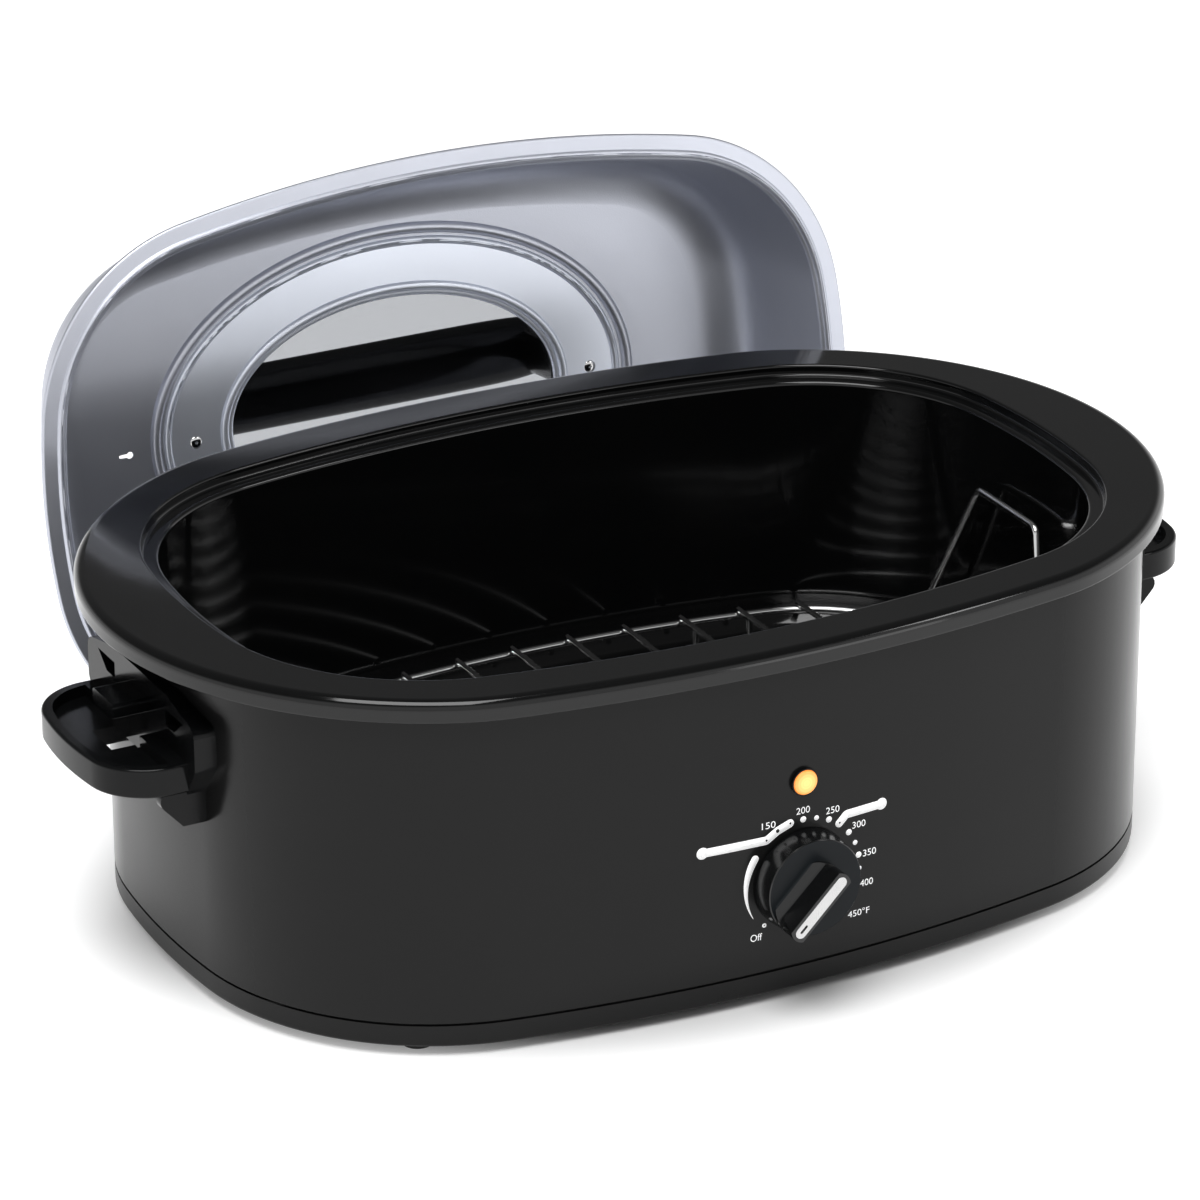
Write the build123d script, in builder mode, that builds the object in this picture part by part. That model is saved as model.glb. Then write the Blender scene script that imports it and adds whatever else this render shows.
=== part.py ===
"""Electric roaster oven: an oval countertop cooker with a lift-out pan, a wire rack and a
lift-off domed lid that stands on the counter behind it.

Millimetres, +Z up. The origin is on the counter under the middle of the body, X runs along
the long side and the controls face -Y.
"""

from build123d import *
from collections import namedtuple
from math import atan2, cos, degrees, radians, sin, sqrt, tan
import os

# ---------------------------------------------------------------- driving dimensions
Oval = namedtuple("Oval", "half_length half_width end_radius side_radius corner_radius")

BODY = Oval(256.0, 177.0, 460.0, 780.0, 130.0)      # outside of the painted shell
RIM = Oval(280.0, 182.0, 175.0, 830.0, 120.0)       # outside of the pan's rolled rim
LID = Oval(234.0, 151.0, 370.0, 760.0, 106.0)       # outside of the lid's flange

FIT = 0.3                   # gap between pieces that lift or turn past each other
SEAT = 0.05                 # gap between pieces that are clamped together

# feet and base
FOOT_HEIGHT = 4.7
FOOT_RADIUS = 8.5
FOOT_INSET = 15.0           # from the body's outside to the middle of a foot
FOOT_ANGLE = 59.0           # direction from the corner's centre to the foot
FOOT_RECESS_RADIUS = 4.6
FOOT_RECESS = 2.6
BASE_BAND_HEIGHT = 11.3
BASE_FLOOR = 1.6
BASE_WALL = 2.4
BASE_GROOVE = 0.9           # shadow gap between the band and the shell
BASE_SPIGOT = 5.0           # how far the base rises inside the shell
BASE_EDGE_RADIUS = 2.0
BASE_PANEL_INSET = 50.0     # pressed panel that stiffens the underside, between the feet
BASE_PANEL_DROP = 0.6
VENT_LENGTH = 34.0
VENT_WIDTH = 3.0
VENT_PITCH = 9.0
VENT_ROWS = 6
VENT_X = 95.0

# shell
SHELL_WALL = 1.0
BRACKET_TAB = 18.0          # corner brackets that tie the base to the shell
BRACKET_TAB_HEIGHT = 14.0
BRACKET_THICKNESS = 1.5
BRACKET_STEP = 4.2

# pan
PAN_FLOOR_Z = 43.5          # top of the pan's floor above the counter
PAN_WALL = 1.5
LIP_DEPTH = 10.7
LIP_ROLL = 5.0
OPENING_MARGIN = 4.0        # round the lid's flange, inside the step of the rim
STEP_DEPTH = 6.0
LEDGE_WIDTH = 8.5
MOUTH_RADIUS = 2.5
PAN_DEPTH = 136.0           # from the ledge to the pan's floor
PAN_DRAFT = 3.0
PAN_CORNER = 20.0

# heating well
WELL_WALL = 1.0
WELL_MARGIN = 2.0           # round the pan's step
WELL_HEM = 6.0
WELL_HEM_WALL = 0.8
WELL_DRAFT = 3.0
WELL_FLOOR_GAP = 4.0        # under the pan
WELL_CORNER = 22.0
ELEMENT_THICKNESS = 2.4
ELEMENT_BOTTOM = 52.0
ELEMENT_HEIGHT = 34.0
BLANKET_THICKNESS = 4.0
BLANKET_OVERLAP = 14.0      # above and below the element
SHIELD_WALL = 0.8
SHIELD_DROP = 7.0           # below the well's floor
SHIELD_LIP = 5.0
SHIELD_INSET = 46.0
SPACER_RADIUS = 4.0
SPACER_X = 150.0
SPACER_Y = 70.0

# controls
KNOB_Z = 62.8
KNOB_SKIRT_RADIUS = 26.0
KNOB_FACE_RADIUS = 24.5
KNOB_GAP = 0.9
KNOB_DEPTH = 11.9           # skirt, front to back
KNOB_WALL = 2.2
KNOB_HUB_RADIUS = 6.5
KNOB_HUB_SETBACK = 3.0      # from the skirt's rim to the hub
KNOB_EDGE = 0.5             # softened edge of the face
GRIP_DEPTH = 12.5           # how far the grip bar stands in front of the face
GRIP_POINTER_END = 25.3
GRIP_TAIL_END = 14.0
GRIP_TOP_WIDTH = 9.0
GRIP_FOOT_WIDTH = 14.0
GRIP_FLARE_WIDTH = 29.0
GRIP_FLARE_RISE = 3.2
POINTER_WIDTH = 5.8
POINTER_DEPTH = 1.2
POINTER_MARGIN = 1.6        # from the bar's end to the insert's end
POINTER_SLOT_LENGTH = 5.0
POINTER_SLOT_WIDTH = 1.3
OFF_ANGLE = 225.0           # where the knob points when it is off
SHAFT_RADIUS = 3.0
SHAFT_FLAT = 0.8            # depth of the flat that makes the knob turn with its spindle
NOSE_RADIUS = 5.0
THERMOSTAT_WIDTH = 30.0
THERMOSTAT_HEIGHT = 30.0
THERMOSTAT_DEPTH = 10.0
MOUNT_PLATE_WIDTH = 46.0
MOUNT_PLATE_HEIGHT = 36.0
MOUNT_PLATE_WALL = 1.2
SENSOR_WIDTH = 16.0
SENSOR_HEIGHT = 12.0
THERMOSTAT_SCREW_X = 17.0
SMALL_SCREW_RADIUS = 1.5
SMALL_HEAD_RADIUS = 3.0
SMALL_HEAD_HEIGHT = 1.0
LAMP_Z = 113.7
LAMP_RADIUS = 6.4
LAMP_BEZEL_WALL = 0.7
LAMP_BEZEL_PROUD = 2.0
LAMP_LENS_PROUD = 2.9
LAMP_LENGTH = 9.0
LAMP_CLIP_WIDTH = 20.0
LAMP_CLIP_WALL = 1.0

# supply inlet on the right end
GLAND_Z = 44.0
GLAND_BORE = 3.7
GLAND_RADIUS = 6.5
GLAND_FLANGE_RADIUS = 9.0
GLAND_FLANGE = 2.5
GLAND_PROUD = 10.0
GLAND_INSIDE = 7.0
TERMINAL_LENGTH = 30.0
TERMINAL_WIDTH = 16.0
TERMINAL_HEIGHT = 12.0
TERMINAL_INSET = 51.0       # from the end of the shell to the middle of the terminal block
LEAD_RADIUS = 1.2           # sleeved wires between the terminals, thermostat and element
LEAD_BEND = 5.0             # where there is little room
LEAD_WIDE_BEND = 22.0
LEAD_Z = 12.0               # where the leads run along the base
LEAD_SPREAD = 10.0          # from the middle of the terminal block to each lead
LEAD_GAP = 8.0              # between the shell's tip and the lead that rises beside it
ELEMENT_TERMINAL_Z = 66.0
ELEMENT_TERMINAL_X = 32.0
LAMP_LEAD_RADIUS = 0.9
LAMP_LEAD_BEND = 2.0
LAMP_LEAD_SPREAD = 3.0

# side handles
HANDLE_TRAY_Z = 129.8
HANDLE_LENGTH = 47.0        # from the end of the shell to the tip of the grip
HANDLE_HALF_WIDTH = 55.0
HANDLE_BOW = 8.0            # how far the middle of the outer edge stands beyond its ends
HANDLE_CORNER = 31.0
HANDLE_THICKNESS = 15.0
HANDLE_EDGE = 1.5
HANDLE_WRAP = 14.0          # how far the plate's ends follow the shell back from its tip
TRAY_LIP = 5.0
TRAY_RECESS = 6.0
TRAY_GAP = 7.5              # between the plate and the recess in the grip
PLATE_THICKNESS = 6.5
PLATE_HALF_WIDTH = 63.0
PLATE_SHOULDER_Z = 149.5
PLATE_TOP_Z = 156.0
PLATE_TOP_HALF_WIDTH = 32.0
PLATE_SIDE_Z = 128.0
PLATE_LEG_BOTTOM = 97.0
PLATE_LEG_OUTER = 53.0
PLATE_LEG_INNER = 44.0
PLATE_ARCH_Z = 113.0
PLATE_ROUND = 7.0
PLATE_WINDOW_INNER = 30.0   # finger window beside each upper corner of the plate
PLATE_WINDOW_OUTER = 50.0
PLATE_WINDOW_SLANT = 10.0
PLATE_WINDOW_BOTTOM = 139.8
PLATE_WINDOW_TOP = 148.0
GUSSET_THICKNESS = 5.0
GUSSET_LENGTH = 20.0
GUSSET_FOOT = 2.5
GUSSET_ROUND = 5.0
REST_HALF_WIDTH = 12.5      # the shelf that a hung lid rests on
REST_TOP_Z = 146.5
REST_THICKNESS = 7.5
REST_ROUND = 2.0
REST_OVERHANG = 1.5         # from the end of the slot to the end of the shelf
SLOT_MARGIN = 20.0          # solid grip left outside the slot
SLOT_STEP = 8.5             # length of the slot's wide part
SLOT_HALF_WIDTH = 12.0
SLOT_WIDE_HALF_WIDTH = 15.5
HANDLE_SCREW_Y = 38.0
HANDLE_SCREW_Z = 121.0
HANDLE_SCREW_RADIUS = 2.2
HANDLE_SCREW_LENGTH = 12.0
HANDLE_HEAD_RADIUS = 4.5
HANDLE_HEAD_HEIGHT = 2.4
WASHER_RADIUS = 6.0
WASHER_THICKNESS = 1.0

# rack
WIRE_RADIUS = 2.0
CROSS_WIRE_RADIUS = 1.5
RACK_GAP = 12.0             # between the rack's frame and the pan's wall
RACK_HEIGHT = 14.0          # from the pan's floor to the middle of the frame wire
CROSS_WIRE_PITCH = 32.0
CROSS_WIRES = 11
LOOP_HALF_WIDTH = 28.0      # of a lift loop's top
LOOP_FOOT_HALF_WIDTH = 61.0
LOOP_TOP_Z = 144.3
LOOP_LEAN = 8.0             # how far a lift loop's top stands out beyond the frame
LOOP_BEND = 6.0
LOOP_FOOT_RISE = 4.0        # upright end of each leg, welded to the frame
RACK_FOOT_X = 4 * CROSS_WIRE_PITCH
RACK_FOOT_INSET = 12.0      # from the frame to the wire feet, clear of the pan's round corner
RACK_FOOT_BEND = 4.0

# lid
LID_TILT = 7.7              # the parked lid leans back by this angle
LID_PARK_Y = 190.0          # where its lower edge stands
LID_PARK_X = 11.0
LID_WALL = 1.2
LID_FLANGE = 9.0
LID_BEAD_RADIUS = 1.6
LID_WALL_DRAFT = 9.0
LID_DEPTH = 77.0            # from the flange to the top plate
LID_SHOULDER = 30.0
RING_HALF_LENGTH = 142.5    # oval bead round the top plate
RING_HALF_HEIGHT = 97.5
RING_BEAD_WIDTH = 11.0
RING_BEAD_HEIGHT = 2.2
BEAD_ROUND = 1.2
WINDOW_HALF_LENGTH = 96.0
WINDOW_HALF_HEIGHT = 59.0
WINDOW_BEAD_WIDTH = 6.3
GLASS_OVERLAP = 5.0
GLASS_THICKNESS = 3.2
SEAL_WALL = 1.0
VENT_SLOT_X = 159.0
VENT_SLOT_LENGTH = 8.0
VENT_SLOT_RADIUS = 2.3
LID_POST_MARGIN = 21.0      # from the window's end to the middle of a handle post
LID_HANDLE_OVERHANG = 17.0  # from the middle of a post to the end of the handle
LID_HANDLE_HALF_HEIGHT = 18.3
LID_HANDLE_THICKNESS = 19.0
LID_HANDLE_ROUND = 8.5
LID_HANDLE_CORNER = 12.2
LID_HANDLE_STANDOFF = 54.0
LID_POST_LENGTH = 24.0
LID_POST_HEIGHT = 28.0
LID_POST_CORNER = 6.0
LID_SCREW_RADIUS = 2.2
LID_SCREW_HEAD_RADIUS = 4.2
LID_SCREW_HEAD_HEIGHT = 2.0
LID_SCREW_LENGTH = 22.0

# ---------------------------------------------------------------- derived levels
BAND_TOP = FOOT_HEIGHT + BASE_BAND_HEIGHT
SHELL_BOTTOM = BAND_TOP + BASE_GROOVE
LEDGE_Z = PAN_FLOOR_Z + PAN_DEPTH
RIM_TOP = LEDGE_Z + STEP_DEPTH
RIM_UNDERSIDE = RIM_TOP - PAN_WALL
WELL_TOP = RIM_UNDERSIDE - FIT
SHELL_TOP = WELL_TOP - WELL_HEM_WALL - SEAT
WELL_FLOOR_Z = PAN_FLOOR_Z - PAN_WALL - WELL_FLOOR_GAP
SHIELD_Z = WELL_FLOOR_Z - WELL_WALL - SHIELD_DROP
BASE_FLOOR_Z = FOOT_HEIGHT + BASE_FLOOR
HANDLE_UNDER_Z = HANDLE_TRAY_Z - HANDLE_THICKNESS
TERMINAL_X = BODY.half_length - TERMINAL_INSET
HANDLE_REACH = BODY.half_length + HANDLE_LENGTH
PLATE_REACH = BODY.half_length + PLATE_THICKNESS
SLOT_REACH = HANDLE_REACH - SLOT_MARGIN
LID_HANDLE_SCREW_X = WINDOW_HALF_LENGTH + LID_POST_MARGIN
LID_HANDLE_HALF_LENGTH = LID_HANDLE_SCREW_X + LID_HANDLE_OVERHANG


# ---------------------------------------------------------------- outlines
def inset(oval, distance):
    """The parallel oval that lies this far inside (or outside, if negative)."""
    return Oval(*(size - distance for size in oval))


def oval_face(oval, height=0.0, plane=Plane.XY):
    """A face bounded by two end arcs, two side arcs and four corner arcs, all tangent."""
    end = Vector(oval.half_length - oval.end_radius, 0)
    side = Vector(0, oval.half_width - oval.side_radius)
    corner = corner_centre(oval)
    end_angle = degrees(atan2(corner.Y - end.Y, corner.X - end.X))
    side_angle = degrees(atan2(corner.Y - side.Y, corner.X - side.X))
    with BuildSketch(plane.offset(height)) as outline:
        with BuildLine():
            for turn, x_sign, y_sign in ((0, 1, 1), (180, -1, -1)):
                CenterArc(end * x_sign, oval.end_radius, turn - end_angle, 2 * end_angle)
                CenterArc(
                    (x_sign * corner.X, y_sign * corner.Y),
                    oval.corner_radius,
                    turn + end_angle,
                    side_angle - end_angle,
                )
                CenterArc(side * y_sign, oval.side_radius, turn + side_angle, 180 - 2 * side_angle)
                CenterArc(
                    (-x_sign * corner.X, y_sign * corner.Y),
                    oval.corner_radius,
                    turn + 180 - side_angle,
                    side_angle - end_angle,
                )
        make_face()
    return outline.sketch


def corner_centre(oval):
    """Centre of the corner arc in the +X +Y quarter."""
    end_x = oval.half_length - oval.end_radius
    side_y = oval.half_width - oval.side_radius
    to_end = oval.end_radius - oval.corner_radius
    to_side = oval.side_radius - oval.corner_radius
    end, side = Vector(end_x, 0), Vector(0, side_y)
    span = (side - end).length
    along = (to_end**2 - to_side**2 + span**2) / (2 * span)
    across = sqrt(to_end**2 - along**2)
    axis = (side - end) / span
    middle = end + axis * along
    ways = (middle + Vector(-axis.Y, axis.X) * across * way for way in (-1, 1))
    return max(ways, key=lambda point: point.X)


def wall_x(y, oval=BODY):
    """How far out the end of an oval lies at this y, on its end arc."""
    return oval.half_length - oval.end_radius + sqrt(oval.end_radius**2 - y**2)


def wall_y(x, oval=BODY):
    """How far out the side of an oval lies at this x, on its side arc."""
    return oval.half_width - oval.side_radius + sqrt(oval.side_radius**2 - x**2)


def bore(start, direction, radius, length, mode=Mode.SUBTRACT):
    """A straight round hole or peg in the part being built."""
    with BuildSketch(Plane(origin=start, z_dir=direction)) as ring:
        Circle(radius)
    extrude(ring.sketch, amount=length, mode=mode)


def block(x_range, y_range, z_range, mode=Mode.ADD):
    """A box given by its limits along X, Y and Z, in the part being built."""
    sizes = [high - low for low, high in (x_range, y_range, z_range)]
    middle = tuple((high + low) / 2 for low, high in (x_range, y_range, z_range))
    with Locations(middle):
        Box(*sizes, mode=mode)


def pan_head_screw(seat, direction, shank_radius, length, head_radius, head_height):
    """A screw whose head lies on its seat and whose shank runs along the direction."""
    bore(seat, direction, shank_radius, length, mode=Mode.ADD)
    with BuildSketch(Plane(origin=seat, z_dir=-direction)) as head:
        Circle(head_radius)
    extrude(head.sketch, amount=head_height, taper=15)


X_DIR, Y_DIR, Z_DIR = Vector(1, 0, 0), Vector(0, 1, 0), Vector(0, 0, 1)
sides = (1, -1)
corners = [(x_side, y_side) for x_side in sides for y_side in sides]

# ---------------------------------------------------------------- roasting pan
opening = inset(LID, -OPENING_MARGIN)
mouth = inset(opening, LEDGE_WIDTH)

with BuildPart() as pan_cavity:
    extrude(oval_face(mouth, LEDGE_Z), amount=-PAN_DEPTH, taper=PAN_DRAFT)
    fillet(pan_cavity.faces().sort_by(Axis.Z)[0].edges(), radius=PAN_CORNER - PAN_WALL)

with BuildPart() as roasting_pan:
    extrude(oval_face(RIM, RIM_TOP - LIP_DEPTH), amount=LIP_DEPTH)
    fillet(roasting_pan.faces().sort_by(Axis.Z)[-1].edges(), radius=LIP_ROLL)
    extrude(
        oval_face(inset(RIM, PAN_WALL), RIM_TOP - LIP_DEPTH),
        amount=LIP_DEPTH - PAN_WALL,
        mode=Mode.SUBTRACT,
    )
    extrude(oval_face(inset(opening, -PAN_WALL), LEDGE_Z - PAN_WALL), amount=STEP_DEPTH)
    extrude(oval_face(opening, LEDGE_Z), amount=2 * STEP_DEPTH, mode=Mode.SUBTRACT)
    extrude(
        oval_face(inset(mouth, -PAN_WALL), LEDGE_Z),
        amount=-(PAN_DEPTH + PAN_WALL),
        taper=PAN_DRAFT,
    )
    fillet(roasting_pan.faces().sort_by(Axis.Z)[0].edges(), radius=PAN_CORNER)
    add(pan_cavity.part, mode=Mode.SUBTRACT)
    ledge = roasting_pan.faces().filter_by(Plane.XY).filter_by_position(
        Axis.Z, LEDGE_Z, LEDGE_Z, inclusive=(True, True)
    )[0]
    fillet(ledge.inner_wires()[0].edges(), radius=MOUTH_RADIUS)
    rim_flat = roasting_pan.faces().filter_by(Plane.XY).sort_by(Axis.Z)[-1]
    fillet(rim_flat.inner_wires()[0].edges(), radius=PAN_WALL / 2)

# ---------------------------------------------------------------- heating well
well_mouth = inset(opening, -(PAN_WALL + WELL_MARGIN))
well_outside = inset(well_mouth, -WELL_WALL)
hem_inside = inset(BODY, -SEAT)

with BuildPart() as well_cavity:
    extrude(oval_face(well_mouth, WELL_TOP), amount=WELL_FLOOR_Z - WELL_TOP, taper=WELL_DRAFT)
    fillet(well_cavity.faces().sort_by(Axis.Z)[0].edges(), radius=WELL_CORNER - WELL_WALL)

with BuildPart() as heating_well:
    extrude(oval_face(inset(hem_inside, -WELL_HEM_WALL), WELL_TOP - WELL_HEM), amount=WELL_HEM)
    extrude(
        oval_face(hem_inside, WELL_TOP - WELL_HEM),
        amount=WELL_HEM - WELL_HEM_WALL,
        mode=Mode.SUBTRACT,
    )
    extrude(
        oval_face(well_outside, WELL_TOP),
        amount=WELL_FLOOR_Z - WELL_WALL - WELL_TOP,
        taper=WELL_DRAFT,
    )
    fillet(heating_well.faces().sort_by(Axis.Z)[0].edges(), radius=WELL_CORNER)
    add(well_cavity.part, mode=Mode.SUBTRACT)


def well_sleeve(gap, thickness, bottom, height):
    """A band that follows the drafted outside of the well."""
    drop = WELL_TOP - (bottom + height)
    top = inset(well_outside, drop * tan(radians(WELL_DRAFT)) - gap)
    extrude(oval_face(inset(top, -thickness), bottom + height), amount=-height, taper=WELL_DRAFT)
    extrude(
        oval_face(top, bottom + height), amount=-height, taper=WELL_DRAFT, mode=Mode.SUBTRACT
    )


blanket_bottom = ELEMENT_BOTTOM - BLANKET_OVERLAP
blanket_height = ELEMENT_HEIGHT + 2 * BLANKET_OVERLAP
element_gap = SEAT + ELEMENT_THICKNESS + SEAT

with BuildPart() as heating_element:
    well_sleeve(SEAT, ELEMENT_THICKNESS, ELEMENT_BOTTOM, ELEMENT_HEIGHT)

with BuildPart() as insulation_blanket:
    well_sleeve(element_gap, BLANKET_THICKNESS, blanket_bottom, blanket_height)
    block(
        (-SENSOR_WIDTH / 2 - FIT, SENSOR_WIDTH / 2 + FIT),
        (-BODY.half_width, -BODY.half_width / 2),
        (KNOB_Z - SENSOR_HEIGHT / 2 - FIT, KNOB_Z + SENSOR_HEIGHT / 2 + FIT),
        mode=Mode.SUBTRACT,
    )
    end_terminal = (0, LEAD_SPREAD, ELEMENT_TERMINAL_Z)
    front_terminal = (-ELEMENT_TERMINAL_X, 0, ELEMENT_TERMINAL_Z)
    bore(end_terminal, X_DIR, LEAD_RADIUS + FIT, BODY.half_length)
    bore(front_terminal, -Y_DIR, LEAD_RADIUS + FIT, BODY.half_width)

# ---------------------------------------------------------------- outer shell
front_y = -BODY.half_width
inner_front_y = front_y + SHELL_WALL
lamp_hole_radius = LAMP_RADIUS + LAMP_BEZEL_WALL + FIT / 2
handle_screw_x = wall_x(HANDLE_SCREW_Y)

with BuildPart() as outer_shell:
    extrude(oval_face(BODY, SHELL_BOTTOM), amount=SHELL_TOP - SHELL_BOTTOM)
    extrude(
        oval_face(inset(BODY, SHELL_WALL), SHELL_BOTTOM),
        amount=SHELL_TOP - SHELL_BOTTOM,
        mode=Mode.SUBTRACT,
    )
    bore((0, 2 * front_y, KNOB_Z), Y_DIR, NOSE_RADIUS + FIT, BODY.half_width * 1.5)
    bore((0, 2 * front_y, LAMP_Z), Y_DIR, lamp_hole_radius, BODY.half_width * 1.5)
    for side in sides:
        start = (side * THERMOSTAT_SCREW_X, 2 * front_y, KNOB_Z)
        bore(start, Y_DIR, SMALL_SCREW_RADIUS + FIT / 2, BODY.half_width * 1.5)
    bore((BODY.half_length / 2, 0, GLAND_Z), X_DIR, GLAND_RADIUS + FIT / 2, BODY.half_length)
    for x_side, y_side in corners:
        start = (x_side * BODY.half_length / 2, y_side * HANDLE_SCREW_Y, HANDLE_SCREW_Z)
        bore(start, X_DIR * x_side, HANDLE_SCREW_RADIUS + FIT / 2, BODY.half_length)

# ---------------------------------------------------------------- base, feet and brackets
foot_place = corner_centre(BODY) + Vector(1, 0).rotate(Axis.Z, FOOT_ANGLE) * (
    BODY.corner_radius - FOOT_INSET
)
base_inside = inset(BODY, SHELL_WALL + FIT + BASE_WALL)

with BuildPart() as base_tray:
    extrude(oval_face(BODY, FOOT_HEIGHT), amount=BASE_BAND_HEIGHT)
    fillet(base_tray.faces().sort_by(Axis.Z)[0].edges(), radius=BASE_EDGE_RADIUS)
    extrude(oval_face(inset(BODY, SHELL_WALL + FIT), BAND_TOP), amount=BASE_SPIGOT)
    extrude(
        oval_face(base_inside, BASE_FLOOR_Z), amount=BODY.half_width, mode=Mode.SUBTRACT
    )
    panel = inset(BODY, BASE_PANEL_INSET)
    extrude(oval_face(panel, FOOT_HEIGHT), amount=-BASE_PANEL_DROP, taper=30)
    with BuildSketch(Plane.XY.offset(FOOT_HEIGHT - 2 * BASE_PANEL_DROP)) as vents:
        for side in sides:
            with Locations((side * VENT_X, 0)), GridLocations(0, VENT_PITCH, 1, VENT_ROWS):
                SlotOverall(VENT_LENGTH, VENT_WIDTH)
    extrude(vents.sketch, amount=BASE_FLOOR + 3 * BASE_PANEL_DROP, mode=Mode.SUBTRACT)
    for x_side, y_side in corners:
        start = (x_side * foot_place.X, y_side * foot_place.Y, 0)
        bore(start, Z_DIR, SMALL_SCREW_RADIUS + FIT, BAND_TOP)

with BuildPart() as feet:
    for x_side, y_side in corners:
        middle = Vector(x_side * foot_place.X, y_side * foot_place.Y, 0)
        with BuildSketch(Plane.XY.offset(FOOT_HEIGHT - SEAT)) as pad:
            with Locations(middle):
                Circle(FOOT_RADIUS)
        extrude(pad.sketch, amount=-(FOOT_HEIGHT - SEAT), taper=8)
        bore(middle, Z_DIR, FOOT_RECESS_RADIUS, FOOT_RECESS)
        bore(middle, Z_DIR, SMALL_SCREW_RADIUS + FIT, FOOT_HEIGHT)

bracket_foot_top = BASE_FLOOR_Z + SEAT + BRACKET_THICKNESS

with BuildPart() as foot_screws:
    for x_side, y_side in corners:
        seat = Vector(x_side * foot_place.X, y_side * foot_place.Y, FOOT_RECESS - SEAT)
        shank = bracket_foot_top + 2 * BRACKET_THICKNESS - FOOT_RECESS
        pan_head_screw(
            seat, Z_DIR, SMALL_SCREW_RADIUS, shank, SMALL_HEAD_RADIUS, SMALL_HEAD_HEIGHT
        )

with BuildPart() as corner_brackets:
    wall_inset = SHELL_WALL + SEAT + BRACKET_TAB**2 / (8 * BODY.corner_radius)
    tab_face = FOOT_INSET - wall_inset
    riser_face = tab_face - BRACKET_STEP
    step_z = BAND_TOP + BASE_SPIGOT + BRACKET_THICKNESS + FIT
    foot_z = BASE_FLOOR_Z + SEAT
    for x_side, y_side in corners:
        outward = Vector(1, 0).rotate(Axis.Z, FOOT_ANGLE)
        outward = Vector(x_side * outward.X, y_side * outward.Y)
        origin = Vector(x_side * foot_place.X, y_side * foot_place.Y, 0)
        radial = Plane(origin=origin, x_dir=outward, z_dir=outward.cross(Z_DIR))
        with BuildSketch(radial) as profile:
            with BuildLine():
                Polyline(
                    (-BRACKET_TAB / 2, foot_z),
                    (riser_face, foot_z),
                    (riser_face, step_z - BRACKET_THICKNESS),
                    (tab_face, step_z - BRACKET_THICKNESS),
                    (tab_face, step_z + BRACKET_TAB_HEIGHT),
                    (tab_face - BRACKET_THICKNESS, step_z + BRACKET_TAB_HEIGHT),
                    (tab_face - BRACKET_THICKNESS, step_z),
                    (riser_face - BRACKET_THICKNESS, step_z),
                    (riser_face - BRACKET_THICKNESS, bracket_foot_top),
                    (-BRACKET_TAB / 2, bracket_foot_top),
                    close=True,
                )
            make_face()
        extrude(profile.sketch, amount=BRACKET_TAB / 2, both=True)
        bore(origin, Z_DIR, SMALL_SCREW_RADIUS + FIT / 2, BAND_TOP)

# ---------------------------------------------------------------- heat shield under the well
shield_outline = inset(BODY, SHIELD_INSET)

with BuildPart() as heat_shield:
    extrude(oval_face(shield_outline, SHIELD_Z), amount=SHIELD_LIP)
    extrude(
        oval_face(inset(shield_outline, SHIELD_WALL), SHIELD_Z + SHIELD_WALL),
        amount=SHIELD_LIP,
        mode=Mode.SUBTRACT,
    )

with BuildPart() as shield_spacers:
    for x_side, y_side in corners:
        start = (x_side * SPACER_X, y_side * SPACER_Y, BASE_FLOOR_Z + SEAT)
        height = SHIELD_Z - BASE_FLOOR_Z - 2 * SEAT
        bore(start, Z_DIR, SPACER_RADIUS, height, mode=Mode.ADD)

# ---------------------------------------------------------------- thermostat
plate_front_y = inner_front_y + SEAT + MOUNT_PLATE_WIDTH**2 / (8 * BODY.side_radius)
plate_back_y = plate_front_y + MOUNT_PLATE_WALL
thermostat_front_y = plate_back_y + SEAT
thermostat_back_y = thermostat_front_y + THERMOSTAT_DEPTH
element_drop = WELL_TOP - KNOB_Z - SENSOR_HEIGHT / 2
element_front_y = -(
    inset(well_outside, element_drop * tan(radians(WELL_DRAFT)) - element_gap).half_width
)
knob_back_y = front_y - KNOB_GAP

with BuildPart() as thermostat_plate:
    block(
        (-MOUNT_PLATE_WIDTH / 2, MOUNT_PLATE_WIDTH / 2),
        (plate_front_y, plate_back_y),
        (KNOB_Z - MOUNT_PLATE_HEIGHT / 2, KNOB_Z + MOUNT_PLATE_HEIGHT / 2),
    )
    bore((0, front_y, KNOB_Z), Y_DIR, NOSE_RADIUS + FIT, -front_y)
    for side in sides:
        start = (side * THERMOSTAT_SCREW_X, front_y, KNOB_Z)
        bore(start, Y_DIR, SMALL_SCREW_RADIUS + SEAT, -front_y)

with BuildPart() as thermostat:
    block(
        (-THERMOSTAT_WIDTH / 2, THERMOSTAT_WIDTH / 2),
        (thermostat_front_y, thermostat_back_y),
        (KNOB_Z - THERMOSTAT_HEIGHT / 2, KNOB_Z + THERMOSTAT_HEIGHT / 2),
    )
    fillet(thermostat.edges().filter_by(Axis.Y), radius=THERMOSTAT_HEIGHT / 10)
    nose_front_y = front_y - KNOB_GAP / 2
    nose_length = thermostat_front_y - nose_front_y
    bore((0, nose_front_y, KNOB_Z), Y_DIR, NOSE_RADIUS, nose_length + FIT, mode=Mode.ADD)
    bore((0, nose_front_y, KNOB_Z), Y_DIR, SHAFT_RADIUS + FIT, nose_length + SHAFT_RADIUS)

with BuildPart() as thermostat_sensor:
    block(
        (-SENSOR_WIDTH / 2, SENSOR_WIDTH / 2),
        (thermostat_back_y + SEAT, element_front_y - SEAT),
        (KNOB_Z - SENSOR_HEIGHT / 2, KNOB_Z + SENSOR_HEIGHT / 2),
    )

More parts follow.
